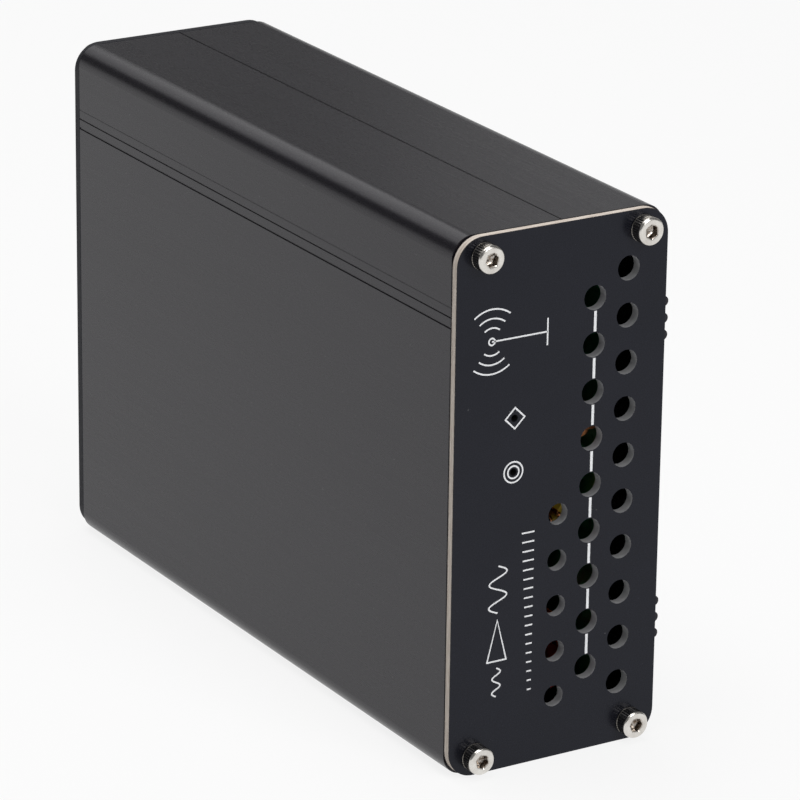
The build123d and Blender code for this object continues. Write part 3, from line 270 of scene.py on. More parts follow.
def speckGroup():
    # round specks: cells nearer their centre than Size, in the share of cells that a random value picks
    group, given, made = newGroup(
        "specks",
        [("Scale", "Float", 1000.0), ("Size", "Float", 0.2), ("Share", "Float", 0.1)],
        [("Mask", "Float")],
    )
    cells = addNode(group, "ShaderNodeTexVoronoi", Vector=objectPlace(group), Scale=given["Scale"])
    picked = addNode(group, "ShaderNodeSeparateColor", Color=cells.outputs["Color"]).outputs[0]
    near = mathNode(group, "LESS_THAN", cells.outputs["Distance"], given["Size"])
    chosen = mathNode(group, "LESS_THAN", picked, given["Share"])
    group.links.new(mathNode(group, "MULTIPLY", near, chosen), made["Mask"])
    return group


hairline = dict(middle=0.5, patches=130, patchesAbove=0.56, detail=1.0)


def hairlineGroup():
    # long thin scratches: where stretched noise passes its middle value, broken up by a broader noise
    group, given, made = newGroup(
        "hairlines",
        [("Stretch", "Vector", (900, 60, 900)), ("Width", "Float", 0.006)],
        [("Mask", "Float")],
    )
    value = stretchedNoise(group, given["Stretch"], hairline["detail"])
    line = mathNode(group, "COMPARE", value, hairline["middle"], given["Width"])
    patches = stretchedNoise(group, hairline["patches"], hairline["detail"])
    kept = mathNode(group, "GREATER_THAN", patches, hairline["patchesAbove"])
    group.links.new(mathNode(group, "MULTIPLY", line, kept), made["Mask"])
    return group


groups = dict(drift=driftGroup(), grain=grainGroup(), specks=speckGroup(), hairlines=hairlineGroup())


def useGroup(tree, name, **settings):
    node = tree.nodes.new("ShaderNodeGroup")
    node.node_tree = groups[name]
    for key, value in settings.items():
        feed(tree, node.inputs[key], value)
    return node.outputs


def shadesOf(tree, dark, light, drift):
    return useGroup(tree, "drift", Dark=dark, Light=light, Stretch=drift)["Color"]


def speckled(tree, colour, specks):
    # specks or dust in a shade of their own, over a colour
    scale, size, share, shade = specks
    mask = useGroup(tree, "specks", Scale=scale, Size=size, Share=share)["Mask"]
    return mixColours(tree, mask, colour, shade)


shaderSockets = dict(
    metallic="Metallic", ior="IOR", coat="Coat Weight", coatRoughness="Coat Roughness",
    transmission="Transmission Weight", specularTint="Specular Tint",
)


def startFinish(name, look):
    # a material whose plain values are set on the shader itself
    material = bpy.data.materials.new(name)
    material.use_nodes = True
    tree = material.node_tree
    shader = tree.nodes["Principled BSDF"]
    for key, socketName in shaderSockets.items():
        if key in look:
            feed(tree, shader.inputs[socketName], look[key])
    return material, tree, shader


usual = dict(drift=120, grain=3000, grainDetail=4.0, relief=0.15, depth=0.02 * mm)


def addGrain(tree, shader, look, extraRoughness=None):
    # the fine grain gives the normal and moves the roughness between its two values
    look = {**usual, **look}
    grain = useGroup(tree, "grain", Stretch=look["grain"], Detail=look["grainDetail"],
                     Strength=look["relief"], Depth=look["depth"])
    roughness = ranged(tree, grain["Value"], *noise["spread"], *look["roughness"])
    if extraRoughness is not None:
        roughness = mathNode(tree, "ADD", roughness, extraRoughness)
    tree.links.new(roughness, shader.inputs["Roughness"])
    tree.links.new(grain["Normal"], shader.inputs["Normal"])


def layeredFinish(name, look):
    # shade drift, then specks and hairlines in their own colours, over a fine grain
    material, tree, shader = startFinish(name, look)
    colour = shadesOf(tree, look["dark"], look["light"], look.get("drift", usual["drift"]))
    if "specks" in look:
        colour = speckled(tree, colour, look["specks"])
    if "lines" in look:
        stretch, width, shade = look["lines"]
        mask = useGroup(tree, "hairlines", Stretch=stretch, Width=width)["Mask"]
        colour = mixColours(tree, mask, colour, shade)
    tree.links.new(colour, shader.inputs["Base Color"])
    addGrain(tree, shader, look)
    return material


# drift, grain and the first value of lines are steps per metre, alike all ways or along X, Y and Z;
# specks are cells per metre, size and share of the cells, and shade
looks = dict(
    heatSpreader=dict(dark=(0.6, 0.6, 0.61), light=(0.74, 0.74, 0.75), metallic=1.0, roughness=(0.24, 0.42),
                      grain=(500, 400, 6000), relief=0.2,
                      lines=((2500, 90, 900), 0.008, (0.85, 0.85, 0.86))),
    plainSteel=dict(dark=(0.52, 0.51, 0.49), light=(0.66, 0.65, 0.62), metallic=1.0, roughness=(0.2, 0.34),
                    grain=6000, specks=(1500, 0.15, 0.06, (0.3, 0.28, 0.25))),
    plateLaminate=dict(dark=(0.55, 0.26, 0.11), light=(0.68, 0.37, 0.18), metallic=0.9,
                       roughness=(0.24, 0.42), grain=(2500, 2500, 400),
                       lines=((200, 1800, 1800), 0.008, (0.82, 0.55, 0.34)),
                       specks=(600, 0.25, 0.1, (0.3, 0.15, 0.08))),
    padSilicone=dict(dark=(0.34, 0.36, 0.39), light=(0.42, 0.44, 0.47), roughness=(0.6, 0.78),
                     specks=(2500, 0.2, 0.3, (0.55, 0.57, 0.6)), relief=0.3),
    blackEpoxy=dict(dark=(0.013, 0.013, 0.0135), light=(0.024, 0.024, 0.025), roughness=(0.42, 0.58),
                    specks=(5000, 0.3, 0.2, (0.05, 0.05, 0.052)), relief=0.35),
    tinnedMetal=dict(dark=(0.52, 0.52, 0.5), light=(0.7, 0.7, 0.68), metallic=1.0, roughness=(0.2, 0.4),
                     drift=700, grain=1800, relief=0.3),
    solder=dict(dark=(0.6, 0.6, 0.58), light=(0.76, 0.76, 0.74), metallic=1.0, roughness=(0.14, 0.32),
                drift=900, grain=1500, relief=0.3, specks=(2500, 0.2, 0.08, (0.35, 0.27, 0.14))),
    whiteNylon=dict(dark=(0.66, 0.64, 0.59), light=(0.76, 0.75, 0.7), roughness=(0.32, 0.48), relief=0.2,
                    specks=(1500, 0.12, 0.05, (0.5, 0.47, 0.4))),
    ferrite=dict(dark=(0.03, 0.03, 0.033), light=(0.065, 0.065, 0.07), roughness=(0.5, 0.75), relief=0.5,
                 grain=2600, specks=(2200, 0.22, 0.15, (0.12, 0.12, 0.125))),
    brassTube=dict(dark=(0.58, 0.38, 0.13), light=(0.75, 0.53, 0.22), metallic=1.0, roughness=(0.18, 0.34),
                   grain=(4000, 300, 4000), lines=((2500, 60, 2500), 0.01, (0.42, 0.26, 0.1))),
    sleevedWire=dict(dark=(0.6, 0.59, 0.54), light=(0.7, 0.69, 0.65), roughness=(0.28, 0.4), coat=0.2,
                     grain=1500, specks=(1800, 0.12, 0.05, (0.42, 0.38, 0.3))),
    enamelledCopper=dict(dark=(0.42, 0.12, 0.03), light=(0.6, 0.23, 0.07), metallic=1.0,
                         roughness=(0.16, 0.3), coat=0.7, coatRoughness=0.12, drift=500, grain=1600,
                         specks=(1600, 0.16, 0.06, (0.25, 0.08, 0.03))),
    yellowPowder=dict(dark=(0.52, 0.36, 0.03), light=(0.68, 0.5, 0.06), roughness=(0.3, 0.46), coat=0.25,
                      coatRoughness=0.2, grain=1200, relief=0.35,
                      specks=(1500, 0.16, 0.1, (0.35, 0.25, 0.05))),
    redPowder=dict(dark=(0.3, 0.03, 0.02), light=(0.44, 0.06, 0.04), roughness=(0.3, 0.46), coat=0.25,
                   coatRoughness=0.2, grain=1200, relief=0.35,
                   specks=(1500, 0.16, 0.1, (0.18, 0.02, 0.02))),
    brownDip=dict(dark=(0.22, 0.08, 0.028), light=(0.34, 0.14, 0.055), roughness=(0.25, 0.4), coat=0.4,
                  coatRoughness=0.15, grain=900, relief=0.4, specks=(1800, 0.14, 0.08, (0.13, 0.05, 0.02))),
    shrinkSleeve=dict(dark=(0.012, 0.013, 0.018), light=(0.02, 0.022, 0.03), roughness=(0.2, 0.32),
                      coat=0.3, grain=(400, 2500, 2500), specks=(2000, 0.12, 0.05, (0.09, 0.09, 0.1))),
    relayCase=dict(dark=(0.011, 0.011, 0.012), light=(0.019, 0.019, 0.021), roughness=(0.3, 0.46),
                   relief=0.25, specks=(3500, 0.2, 0.1, (0.045, 0.045, 0.048))),
    trimmerBlue=dict(dark=(0.014, 0.065, 0.27), light=(0.028, 0.1, 0.37), roughness=(0.25, 0.38),
                     relief=0.2, specks=(2500, 0.15, 0.06, (0.08, 0.18, 0.45))),
    clearLens=dict(dark=(0.5, 0.5, 0.47), light=(0.62, 0.62, 0.58), roughness=(0.05, 0.12),
                   transmission=0.9, specks=(2000, 0.1, 0.04, (0.6, 0.6, 0.55))),
    blackPlastic=dict(dark=(0.01, 0.01, 0.011), light=(0.019, 0.019, 0.021), roughness=(0.38, 0.56),
                      relief=0.3, grain=4500, specks=(4200, 0.25, 0.15, (0.045, 0.045, 0.047))),
    nickelPlate=dict(dark=(0.54, 0.51, 0.46), light=(0.66, 0.63, 0.58), metallic=1.0,
                     roughness=(0.14, 0.28), drift=400, grain=(5000, 1200, 5000), relief=0.12,
                     specks=(1400, 0.14, 0.05, (0.33, 0.3, 0.24))),
    goldPlate=dict(dark=(0.7, 0.48, 0.17), light=(0.85, 0.63, 0.28), metallic=1.0, roughness=(0.14, 0.28),
                   drift=600, grain=(5000, 900, 5000), relief=0.12,
                   lines=((3500, 120, 3500), 0.008, (0.55, 0.36, 0.12))),
    yellowNylon=dict(dark=(0.7, 0.45, 0.02), light=(0.82, 0.56, 0.035), roughness=(0.34, 0.5), relief=0.25,
                     specks=(1800, 0.14, 0.06, (0.4, 0.22, 0.03))),
    leadJacket=dict(dark=(0.012, 0.012, 0.0125), light=(0.024, 0.024, 0.025), roughness=(0.46, 0.62),
                    relief=0.25, grain=(2500, 800, 800), specks=(3000, 0.2, 0.1, (0.06, 0.06, 0.062))),
    markInk=dict(dark=(0.84, 0.85, 0.87), light=(0.92, 0.93, 0.95), roughness=(0.42, 0.55), relief=0.2,
                 drift=1500, specks=(5000, 0.25, 0.05, (0.45, 0.46, 0.48))),
)

case = dict(
    dark=(0.0045, 0.0038, 0.0062), light=(0.0068, 0.006, 0.0092), ior=1.4, specularTint=(0.96, 0.93, 1.0),
    roughness=(0.25, 0.31), drift=(45, 9, 45), grain=(5200, 700, 5200), relief=0.05, depth=0.01 * mm,
    drawLines=(1100, 9, 1100), drawDetail=2.0, drawSpread=(0.35, 0.65), drawRoughness=0.012,
    dust=(420, 0.05, 0.035, (0.06, 0.06, 0.062)),
)


def anodisedCase():
    # black anodised extrusion: long draw lines that run from end to end, a fine matt grain and a
    # few specks of dust
    material, tree, shader = startFinish("anodisedCase", case)
    colour = speckled(tree, shadesOf(tree, case["dark"], case["light"], case["drift"]), case["dust"])
    tree.links.new(colour, shader.inputs["Base Color"])
    lines = stretchedNoise(tree, case["drawLines"], case["drawDetail"])
    drawn = ranged(tree, lines, *case["drawSpread"], -case["drawRoughness"], case["drawRoughness"])
    addGrain(tree, shader, case, extraRoughness=drawn)
    return material


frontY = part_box("front_panel")[0].y
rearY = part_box("rear_panel")[1].y
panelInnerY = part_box("rear_panel")[0].y
panel = dict(
    dark=(0.0032, 0.0038, 0.0072), light=(0.0048, 0.0054, 0.0095), ior=1.34, specularTint=(0.86, 0.88, 1.0),
    roughness=(0.24, 0.3), drift=70, grain=1400, relief=0.05, depth=0.01 * mm,
    dust=(420, 0.05, 0.03, (0.07, 0.07, 0.072)), cutBelow=0.4, cutRoughness=0.35,
    halfWidth=19.0 * mm, halfHeight=44.0 * mm, cornerRadius=4.5 * mm, thickness=1.6 * mm, rimReach=0.3 * mm,
    rimDark=(0.52, 0.445, 0.38), rimLight=(0.74, 0.675, 0.61), rimDrift=(260, 2500, 260),
    # the dark skin at the shell side is wider than the real skin, as painted shadow of the gap to the shell; one colour
    # serves both skins
    frontSkin=0.16 * mm, rearSkinAndGapShade=0.34 * mm, skinAndGapShadeColour=(0.03, 0.024, 0.02),
    plies=6, plyColour=(0.42, 0.35, 0.27), plyWidth=0.16, plyStrength=0.45,
    holeDark=(0.29, 0.29, 0.3), holeLight=(0.37, 0.37, 0.38), holeDrift=(900, 2500, 900),
    paintedRim=(0.012, 0.012, 0.014), windowsBefore=-5 * mm,
)


def rimGroup():
    # the rim of a rounded rectangle: the point's place is folded into one quarter, q is how far it
    # lies past the corner's centre, and |max(q, 0)| + min(larger part of q, 0) grows outwards up to
    # the corner's radius, which it has on the outline
    middle = ("Middle Z", "Float", panel["halfHeight"])
    group, given, made = newGroup("outlineRim", [middle], [("Mask", "Float")])
    place = addNode(group, "ShaderNodeSeparateXYZ", Vector=objectPlace(group)).outputs
    across = mathNode(group, "ABSOLUTE", place[0])
    up = mathNode(group, "ABSOLUTE", mathNode(group, "SUBTRACT", place[2], given["Middle Z"]))
    qx = mathNode(group, "SUBTRACT", across, panel["halfWidth"] - panel["cornerRadius"])
    qz = mathNode(group, "SUBTRACT", up, panel["halfHeight"] - panel["cornerRadius"])
    past = addNode(group, "ShaderNodeCombineXYZ", X=mathNode(group, "MAXIMUM", qx, 0.0),
                   Y=mathNode(group, "MAXIMUM", qz, 0.0))
    reach = addNode(group, "ShaderNodeVectorMath", operation="LENGTH", in0=past.outputs[0]).outputs["Value"]
    within = mathNode(group, "MINIMUM", mathNode(group, "MAXIMUM", qx, qz), 0.0)
    edge = mathNode(group, "ADD", reach, within)
    limit = panel["cornerRadius"] - panel["rimReach"]
    group.links.new(mathNode(group, "GREATER_THAN", edge, limit), made["Mask"])
    return group


groups["rim"] = rimGroup()


def rimPlies(tree, y):
    # pale laminate with darker bonds between its plies, and a dark skin at each face; the skin at the shell side is
    # wider than the real skin, as painted shadow of the gap between panel and shell
    depth = mathNode(tree, "SUBTRACT", y, frontY)
    nearFront = mathNode(tree, "LESS_THAN", depth, panel["frontSkin"])
    nearShellSkinAndShade = mathNode(tree, "GREATER_THAN", depth, panel["thickness"] - panel["rearSkinAndGapShade"])
    skinAndGapShade = mathNode(tree, "MAXIMUM", nearFront, nearShellSkinAndShade)
    ply = mathNode(tree, "FRACT", mathNode(tree, "MULTIPLY", depth, panel["plies"] / panel["thickness"]))
    bond = mathNode(tree, "LESS_THAN", ply, panel["plyWidth"])
    rim = shadesOf(tree, panel["rimDark"], panel["rimLight"], panel["rimDrift"])
    rim = mixColours(tree, mathNode(tree, "MULTIPLY", bond, panel["plyStrength"]), rim, panel["plyColour"])
    return mixColours(tree, skinAndGapShade, rim, panel["skinAndGapShadeColour"])


def panelFinish(name, paleRim):
    # black mask on both faces; the cut rim shows the front panel's plies, or black paint; the vents
    # show pale drilled walls, and the light windows left of them are masked inside; the slanted chamfer at the shell
    # side counts as a face and takes the black mask as painted shadow of the gap
    material, tree, shader = startFinish(name, panel)
    mask = speckled(tree, shadesOf(tree, panel["dark"], panel["light"], panel["drift"]), panel["dust"])
    place = addNode(tree, "ShaderNodeSeparateXYZ", Vector=objectPlace(tree)).outputs
    rim = rimPlies(tree, place[1]) if paleRim else panel["paintedRim"]
    window = mathNode(tree, "LESS_THAN", place[0], panel["windowsBefore"])
    hole = shadesOf(tree, panel["holeDark"], panel["holeLight"], panel["holeDrift"])
    walls = mixColours(tree, window, hole, panel["paintedRim"])
    sides = mixColours(tree, useGroup(tree, "rim")["Mask"], walls, rim)
    # the chamfer at the shell side turns less than this limit from the face, so it keeps the black mask as painted
    # shadow of the gap
    cut = facesAside(tree, 1, panel["cutBelow"])
    tree.links.new(mixColours(tree, cut, mask, sides), shader.inputs["Base Color"])
    rawRoughness = mathNode(tree, "MULTIPLY", cut, panel["cutRoughness"])
    addGrain(tree, shader, panel, extraRoughness=rawRoughness)
    return material


board = dict(
    ior=1.5, coat=0.35, coatRoughness=0.12, roughness=(0.25, 0.38), grain=1600, relief=0.08,
    mask=(0.008, 0.085, 0.034), pour=(0.014, 0.14, 0.055), pourCells=130, gap=0.035,
    edge=(0.32, 0.27, 0.13), cutBelow=0.5,
)


def boardFinish():
    # green mask over copper: square cells of pour with narrow gaps between them, as their distances
    # to the two nearest cell centres draw level; the cut edges show bare laminate
    material, tree, shader = startFinish("boardLaminate", board)
    nearest, second = [
        addNode(tree, "ShaderNodeTexVoronoi", distance="CHEBYCHEV", feature=feature, Vector=objectPlace(tree),
                Scale=board["pourCells"]).outputs["Distance"]
        for feature in ("F1", "F2")
    ]
    gap = mathNode(tree, "LESS_THAN", mathNode(tree, "SUBTRACT", second, nearest), board["gap"])
    green = mixColours(tree, gap, board["pour"], board["mask"])
    cut = facesAside(tree, 0, board["cutBelow"])
    tree.links.new(mixColours(tree, cut, green, board["edge"]), shader.inputs["Base Color"])
    addGrain(tree, shader, board)
    return material


head = dict(
    metallic=1.0, roughness=(0.16, 0.3), grain=5000, relief=0.15,
    # side is the knurled side's colour, made darker than the steel as painted shade
    dark=(0.6, 0.57, 0.53), light=(0.78, 0.76, 0.72), drift=500, side=(0.34, 0.32, 0.29),
    rings=9000.0, ringSpread=0.05,
    # the socket's colour and noise values paint shade: a patchy brown darkening inside the hex socket
    socketShade=(0.16, 0.115, 0.08), socketShadeDrift=2500, socketShadeDetail=2.0, socketShadeSpread=(0.35, 0.6), socketShadeShare=(1.0, 0.35),
)


screwAttributes = ("axisRadius", "inSocket", "shadedSide")     # what each point of a screw stores


def screwFinish():
    # turned stainless steel: fine facing rings round each screw's own axis; the knurled side's darker colour
    # and a patchy brown darkening in the socket are painted shade, by the zone and radius stored with each point
    material, tree, shader = startFinish("turnedStainless", head)
    radius, inSocket, shadedSide = [
        addNode(tree, "ShaderNodeAttribute", attribute_name=label).outputs["Fac"] for label in screwAttributes
    ]
    # painted shade in the socket, made patchy by noise
    socketShadeNoise = stretchedNoise(tree, head["socketShadeDrift"], head["socketShadeDetail"])
    socketShaded = mathNode(tree, "MULTIPLY", inSocket, ranged(tree, socketShadeNoise, *head["socketShadeSpread"], *head["socketShadeShare"]))
    steel = shadesOf(tree, head["dark"], head["light"], head["drift"])
    # the side's rows take the darker side colour as painted shade
    colour = mixColours(tree, shadedSide, mixColours(tree, socketShaded, steel, head["socketShade"]), head["side"])
    tree.links.new(colour, shader.inputs["Base Color"])
    rings = mathNode(tree, "SINE", mathNode(tree, "MULTIPLY", radius, head["rings"] * 2 * math.pi))
    addGrain(tree, shader, head, extraRoughness=mathNode(tree, "MULTIPLY", rings, head["ringSpread"]))
    return material


finishes = {name: layeredFinish(name, look) for name, look in looks.items()}
finishes["anodisedCase"] = anodisedCase()
finishes["frontPanel"] = panelFinish("frontPanel", paleRim=True)
finishes["rearPanel"] = panelFinish("rearPanel", paleRim=False)
finishes["boardLaminate"] = boardFinish()
finishes["turnedStainless"] = screwFinish()

finishOfSlot = dict(
    anodised_case="anodisedCase", panel_laminate="frontPanel", stainless="plainSteel",
    board_laminate="boardLaminate", plate_laminate="plateLaminate", bare_aluminium="heatSpreader",
    pad_silicone="padSilicone", black_epoxy="blackEpoxy", tinned_metal="tinnedMetal",
    nylon_white="whiteNylon", ferrite="ferrite", brass_tube="brassTube", sleeved_wire="sleevedWire",
    enamelled_copper="enamelledCopper", iron_powder_yellow="yellowPowder", iron_powder_red="redPowder",
    capacitor_brown="brownDip", capacitor_sleeve="shrinkSleeve", relay_plastic="relayCase",
    trimmer_blue="trimmerBlue", lamp_lens="clearLens", black_plastic="blackPlastic",
    nickel_plate="nickelPlate", gold_plate="goldPlate", inlet_nylon="yellowNylon",
    lead_jacket="leadJacket", legend_ink="markInk",
)
finishOfNode = dict(rear_panel="rearPanel")
for part in frame["record"]["subparts"]:
    node = frame["nodes"][part["node"]]
    finish = finishOfNode.get(part["node"], finishOfSlot[part["material_slot"]])
    node.data.materials.clear()
    node.data.materials.append(finishes[finish])
print("finishes made:", len(finishes))

screw = dict(
    headRadius=2.25 * mm, headHeight=2.5 * mm, headRound=0.4 * mm, roundPoints=5,
    seatInset=0.05 * mm, seatRise=0.06 * mm,
    knurlDepth=0.07 * mm, knurlFrom=0.25 * mm, knurlTo=2.0 * mm, knurlRunOut=0.04 * mm,
    keyFlats=2.0 * mm, keyDepth=1.3 * mm, keyLead=0.14 * mm, keyLeadShare=0.8, keyCone=0.3 * mm,
    floorShare=0.94, floorDrop=0.04 * mm,
    shankRadius=1.2 * mm, shankTip=0.3 * mm, pole=0.05 * mm, columns=72,
    offsetX=14.35 * mm, lowZ=3.1 * mm, highZ=84.9 * mm, fanReach=10.0 * mm,
    panelLength=9.6 * mm, fanLength=9.0 * mm, turns=(12, 41, 25, 3),
)


def screwShell(centre, axis, length, turn):
    # the outline from the tip to the socket's mouth is turned round the axis; the knurl's two rows
    # move in at every other column, and the socket's rows below the mouth are hexagons
    s = screw
    r, h = s["headRadius"], s["headHeight"]
    shank = [(s["pole"], -length), (s["shankRadius"] - s["shankTip"], -length),
             (s["shankRadius"], s["shankTip"] - length), (s["shankRadius"], 0)]
    seat = [(r - s["seatInset"], 0), (r, s["seatRise"]), (r, s["knurlFrom"] - s["knurlRunOut"])]
    side = seat + [(r, s["knurlFrom"]), (r, s["knurlTo"]), (r, s["knurlTo"] + s["knurlRunOut"])]
    key = hexRadius(s["keyFlats"], s["columns"])
    top = roundedCorner(r, h, s["headRound"], s["roundPoints"]) + [(key.max() + s["keyLead"], h)]
    outline = shank + side + top
    radii = np.array([[radius] * s["columns"] for radius, _ in outline])
    knurlRow = len(shank) + len(seat)
    radii[knurlRow:knurlRow + 2] -= np.arange(s["columns"]) % 2 * s["knurlDepth"]
    socketRadii = np.stack([key, key, key * s["floorShare"], np.full(s["columns"], s["pole"])])
    floor = h - s["keyDepth"]
    socketHeights = [h - s["keyLead"] * s["keyLeadShare"], floor, floor - s["floorDrop"],
                     floor - s["keyCone"]]
    radii = np.concatenate([radii, socketRadii])
    inSocket, shadedSide = np.zeros_like(radii), np.zeros_like(radii)
    inSocket[len(outline):] = 1.0
    # the rows of the head's side, which take painted shade in the finish
    shadedSide[len(shank):len(shank) + len(side)] = 1.0
    heights = [height for _, height in outline] + socketHeights
    return turned(radii, heights, centre, axis, turn, s["columns"]), (radii, inSocket, shadedSide)


def capScrews(name, replaced, places, axis, faceY, length):
    # one piece of four screws; each point keeps its distance from its own screw's axis and the zone
    # it lies in, for the screws' finish
    made = [screwShell((x, faceY, z), axis, length, turn) for (x, z), turn in zip(places, screw["turns"])]
    shells = [(points, False, True, True) for points, _ in made]
    piece = addPiece(name, shells, "stainless", "turnedStainless", replaced=(replaced,))
    for label, values in zip(screwAttributes, zip(*[stored for _, stored in made])):
        layer = piece.data.attributes.new(label, "FLOAT", "POINT")
        layer.data.foreach_set("value", np.concatenate([v.ravel() for v in values]).astype(np.float32))


signs = (-1, 1)
fanMiddle = middleOf("fan_frame")
panelScrewPlaces = [(side * screw["offsetX"], z) for side in signs for z in (screw["lowZ"], screw["highZ"])]
fanScrewPlaces = [(fanMiddle.x + a * screw["fanReach"], fanMiddle.z + b * screw["fanReach"])
                  for a in signs for b in signs]
capScrews("front_screws", "front_panel_screws", panelScrewPlaces, (0, -1, 0), frontY, screw["panelLength"])
capScrews("rear_screws", "rear_panel_screws", panelScrewPlaces, (0, 1, 0), rearY, screw["panelLength"])
capScrews("fan_mount_screws", "fan_screws", fanScrewPlaces, (0, 1, 0), rearY, screw["fanLength"])
print("cap screws turned: 12")

socket = dict(
    threadRadius=4.7 * mm, threadPitch=0.8 * mm, threadDepth=0.3 * mm, rowStep=0.1 * mm,
    plainTo=0.1 * mm, threadFrom=0.3 * mm, threadStop=0.35 * mm, threadEnd=8.0 * mm,
    rootDepth=12.0 * mm, undercut=4.35 * mm, undercutWidth=0.3 * mm, shoulder=0.1 * mm,
    barrelRadius=4.8 * mm, barrelEnd=18.6 * mm, boreRadius=4.05 * mm, mouth=0.4 * mm, boreLead=0.12 * mm,
    lugRadius=1.0 * mm, lugTop=6.0 * mm, lugSetback=5.0 * mm, lugRound=0.15 * mm, lugFoot=4.3 * mm,
    columns=72, lugColumns=32,
)


def socketShell(name, replaced):
    # a tube whose outside carries a V thread behind the panel nut, an undercut and the plain
    # bayonet barrel; the two lugs are short rounded pegs through its wall
    s = socket
    at = middleOf(replaced)
    heights = np.arange(s["threadFrom"], s["threadEnd"] - s["threadStop"], s["rowStep"])
    thread = threadRadius(heights, s["threadRadius"], s["threadPitch"], s["threadDepth"], s["columns"])
    before = [(s["threadRadius"], -s["rootDepth"]), (s["threadRadius"], s["plainTo"])]
    r, end, bore = s["barrelRadius"], s["barrelEnd"], s["boreRadius"]
    after = [(s["undercut"], s["threadEnd"] - s["undercutWidth"]), (s["undercut"], s["threadEnd"]),
             (r - s["shoulder"], s["threadEnd"]), (r, s["threadEnd"] + s["shoulder"]),
             *easedCorner(r, end, s["mouth"]),
             (bore + s["boreLead"], end), (bore, end - s["boreLead"]), (bore, -s["rootDepth"])]
    shells = [threadedTube(before, thread, heights, after, (at.x, panelInnerY, at.z))]
    lugAt = (at.x, panelInnerY + end - s["lugSetback"], at.z)
    peg = [(s["lugRadius"], s["lugFoot"]), *easedCorner(s["lugRadius"], s["lugTop"], s["lugRound"])]
    for side in signs:
        shells.append((turnedOutline(peg, lugAt, (0, 0, side), s["lugColumns"]), False, True, True))
    addPiece(name, shells, "nickel_plate", replaced=(replaced,), sharpAngle=40)


socketShell("input_socket_shell", "rf_input_shell")
socketShell("output_socket_shell", "rf_output_shell")

nut = dict(
    socket=dict(flats=14.0 * mm, thickness=2.2 * mm, bore=4.75 * mm),
    jack=dict(flats=8.0 * mm, thickness=1.8 * mm, bore=3.05 * mm),
    # what each nut sits on, its kind, and its turn in degrees
    places=(("rf_input_shell", "socket", 8), ("rf_output_shell", "socket", -17),
            ("key_jack_bush", "jack", 22)),
    coneShare=0.965, coneSlope=math.tan(math.radians(60)), lead=0.25 * mm, columns=96,
    chamferRows=(0.0, 0.06, 0.12, 0.19, 0.27, 0.36),
)


def nutShell(carrier, kind, turn):
    # a hexagon cut by a cone: each row's radius is the smaller of the hexagon's and the cone's,
    # which leaves the curved corners of a real nut on both faces
    at, lead, columns = middleOf(carrier), nut["lead"], nut["columns"]
    flats, thickness, bore = nut[kind].values()
    drops = np.array(nut["chamferRows"]) * thickness
    cone = flats / 2 * nut["coneShare"] + drops * nut["coneSlope"]
    lower = np.minimum(hexRadius(flats, columns)[None, :], cone[:, None])
    inner = [(bore + lead, thickness), (bore, thickness - lead), (bore, lead), (bore + lead, 0)]
    radii = np.concatenate([lower, lower[::-1], np.array([[radius] * columns for radius, _ in inner])])
    heights = np.concatenate([drops, thickness - drops[::-1], [height for _, height in inner]])
    return turned(radii, heights, (at.x, rearY, at.z), (0, 1, 0), turn, columns), True, True, False


addPiece("rear_nuts", [nutShell(*place) for place in nut["places"]], "nickel_plate",
         replaced=("panel_nuts",), sharpAngle=25)

bush = dict(
    radius=3.0 * mm, bore=1.8 * mm, length=5.0 * mm, pitch=0.5 * mm, depth=0.2 * mm, rowStep=0.0625 * mm,
    threadFrom=0.2 * mm, threadStop=0.5 * mm, plainFrom=0.4 * mm, chamfer=0.25 * mm, boreLead=0.2 * mm,
    columns=60,
)


def jackBush(name, replaced):
    # a threaded tube with a small chamfer at its mouth
    b = bush
    at = middleOf(replaced)
    r, end, bore = b["radius"], b["length"], b["bore"]
    heights = np.arange(b["threadFrom"], end - b["threadStop"], b["rowStep"])
    thread = threadRadius(heights, r, b["pitch"], b["depth"], b["columns"])
    after = [(r, end - b["plainFrom"]), (r, end - b["chamfer"]), (r - b["chamfer"], end),
             (bore + b["boreLead"], end), (bore, end - b["boreLead"]), (bore, 0.0)]
    tube = threadedTube([(r, 0.0)], thread, heights, after, (at.x, panelInnerY, at.z))
    addPiece(name, [tube], "nickel_plate", replaced=(replaced,), sharpAngle=40)


jackBush("key_jack_thread", "key_jack_bush")
print("rear sockets, nuts and jack threaded")

rotor = dict(
    blades=7, rootRadius=5.9 * mm, tipRadius=11.15 * mm, chord=6.7 * mm, thickness=0.8 * mm, camber=0.75 * mm,
    chordTaper=0.12, thicknessTaper=0.35, rootPitch=57, tipPitch=40, sweep=16, rows=15, columns=28,
    middleY=55.5 * mm, hubRadius=6.2 * mm, hubWall=0.9 * mm, hubFrontY=51.7 * mm, hubBackY=59.3 * mm,
    hubCap=1.0 * mm, hubRound=0.45 * mm, hubRoundPoints=4, hubChamfer=0.1 * mm,
    shaftRadius=0.75 * mm, shaftFrontY=50.2 * mm, dishRadius=4.4 * mm, dishDepth=0.12 * mm,
    dishSlope=0.1 * mm, pole=0.05 * mm,
)


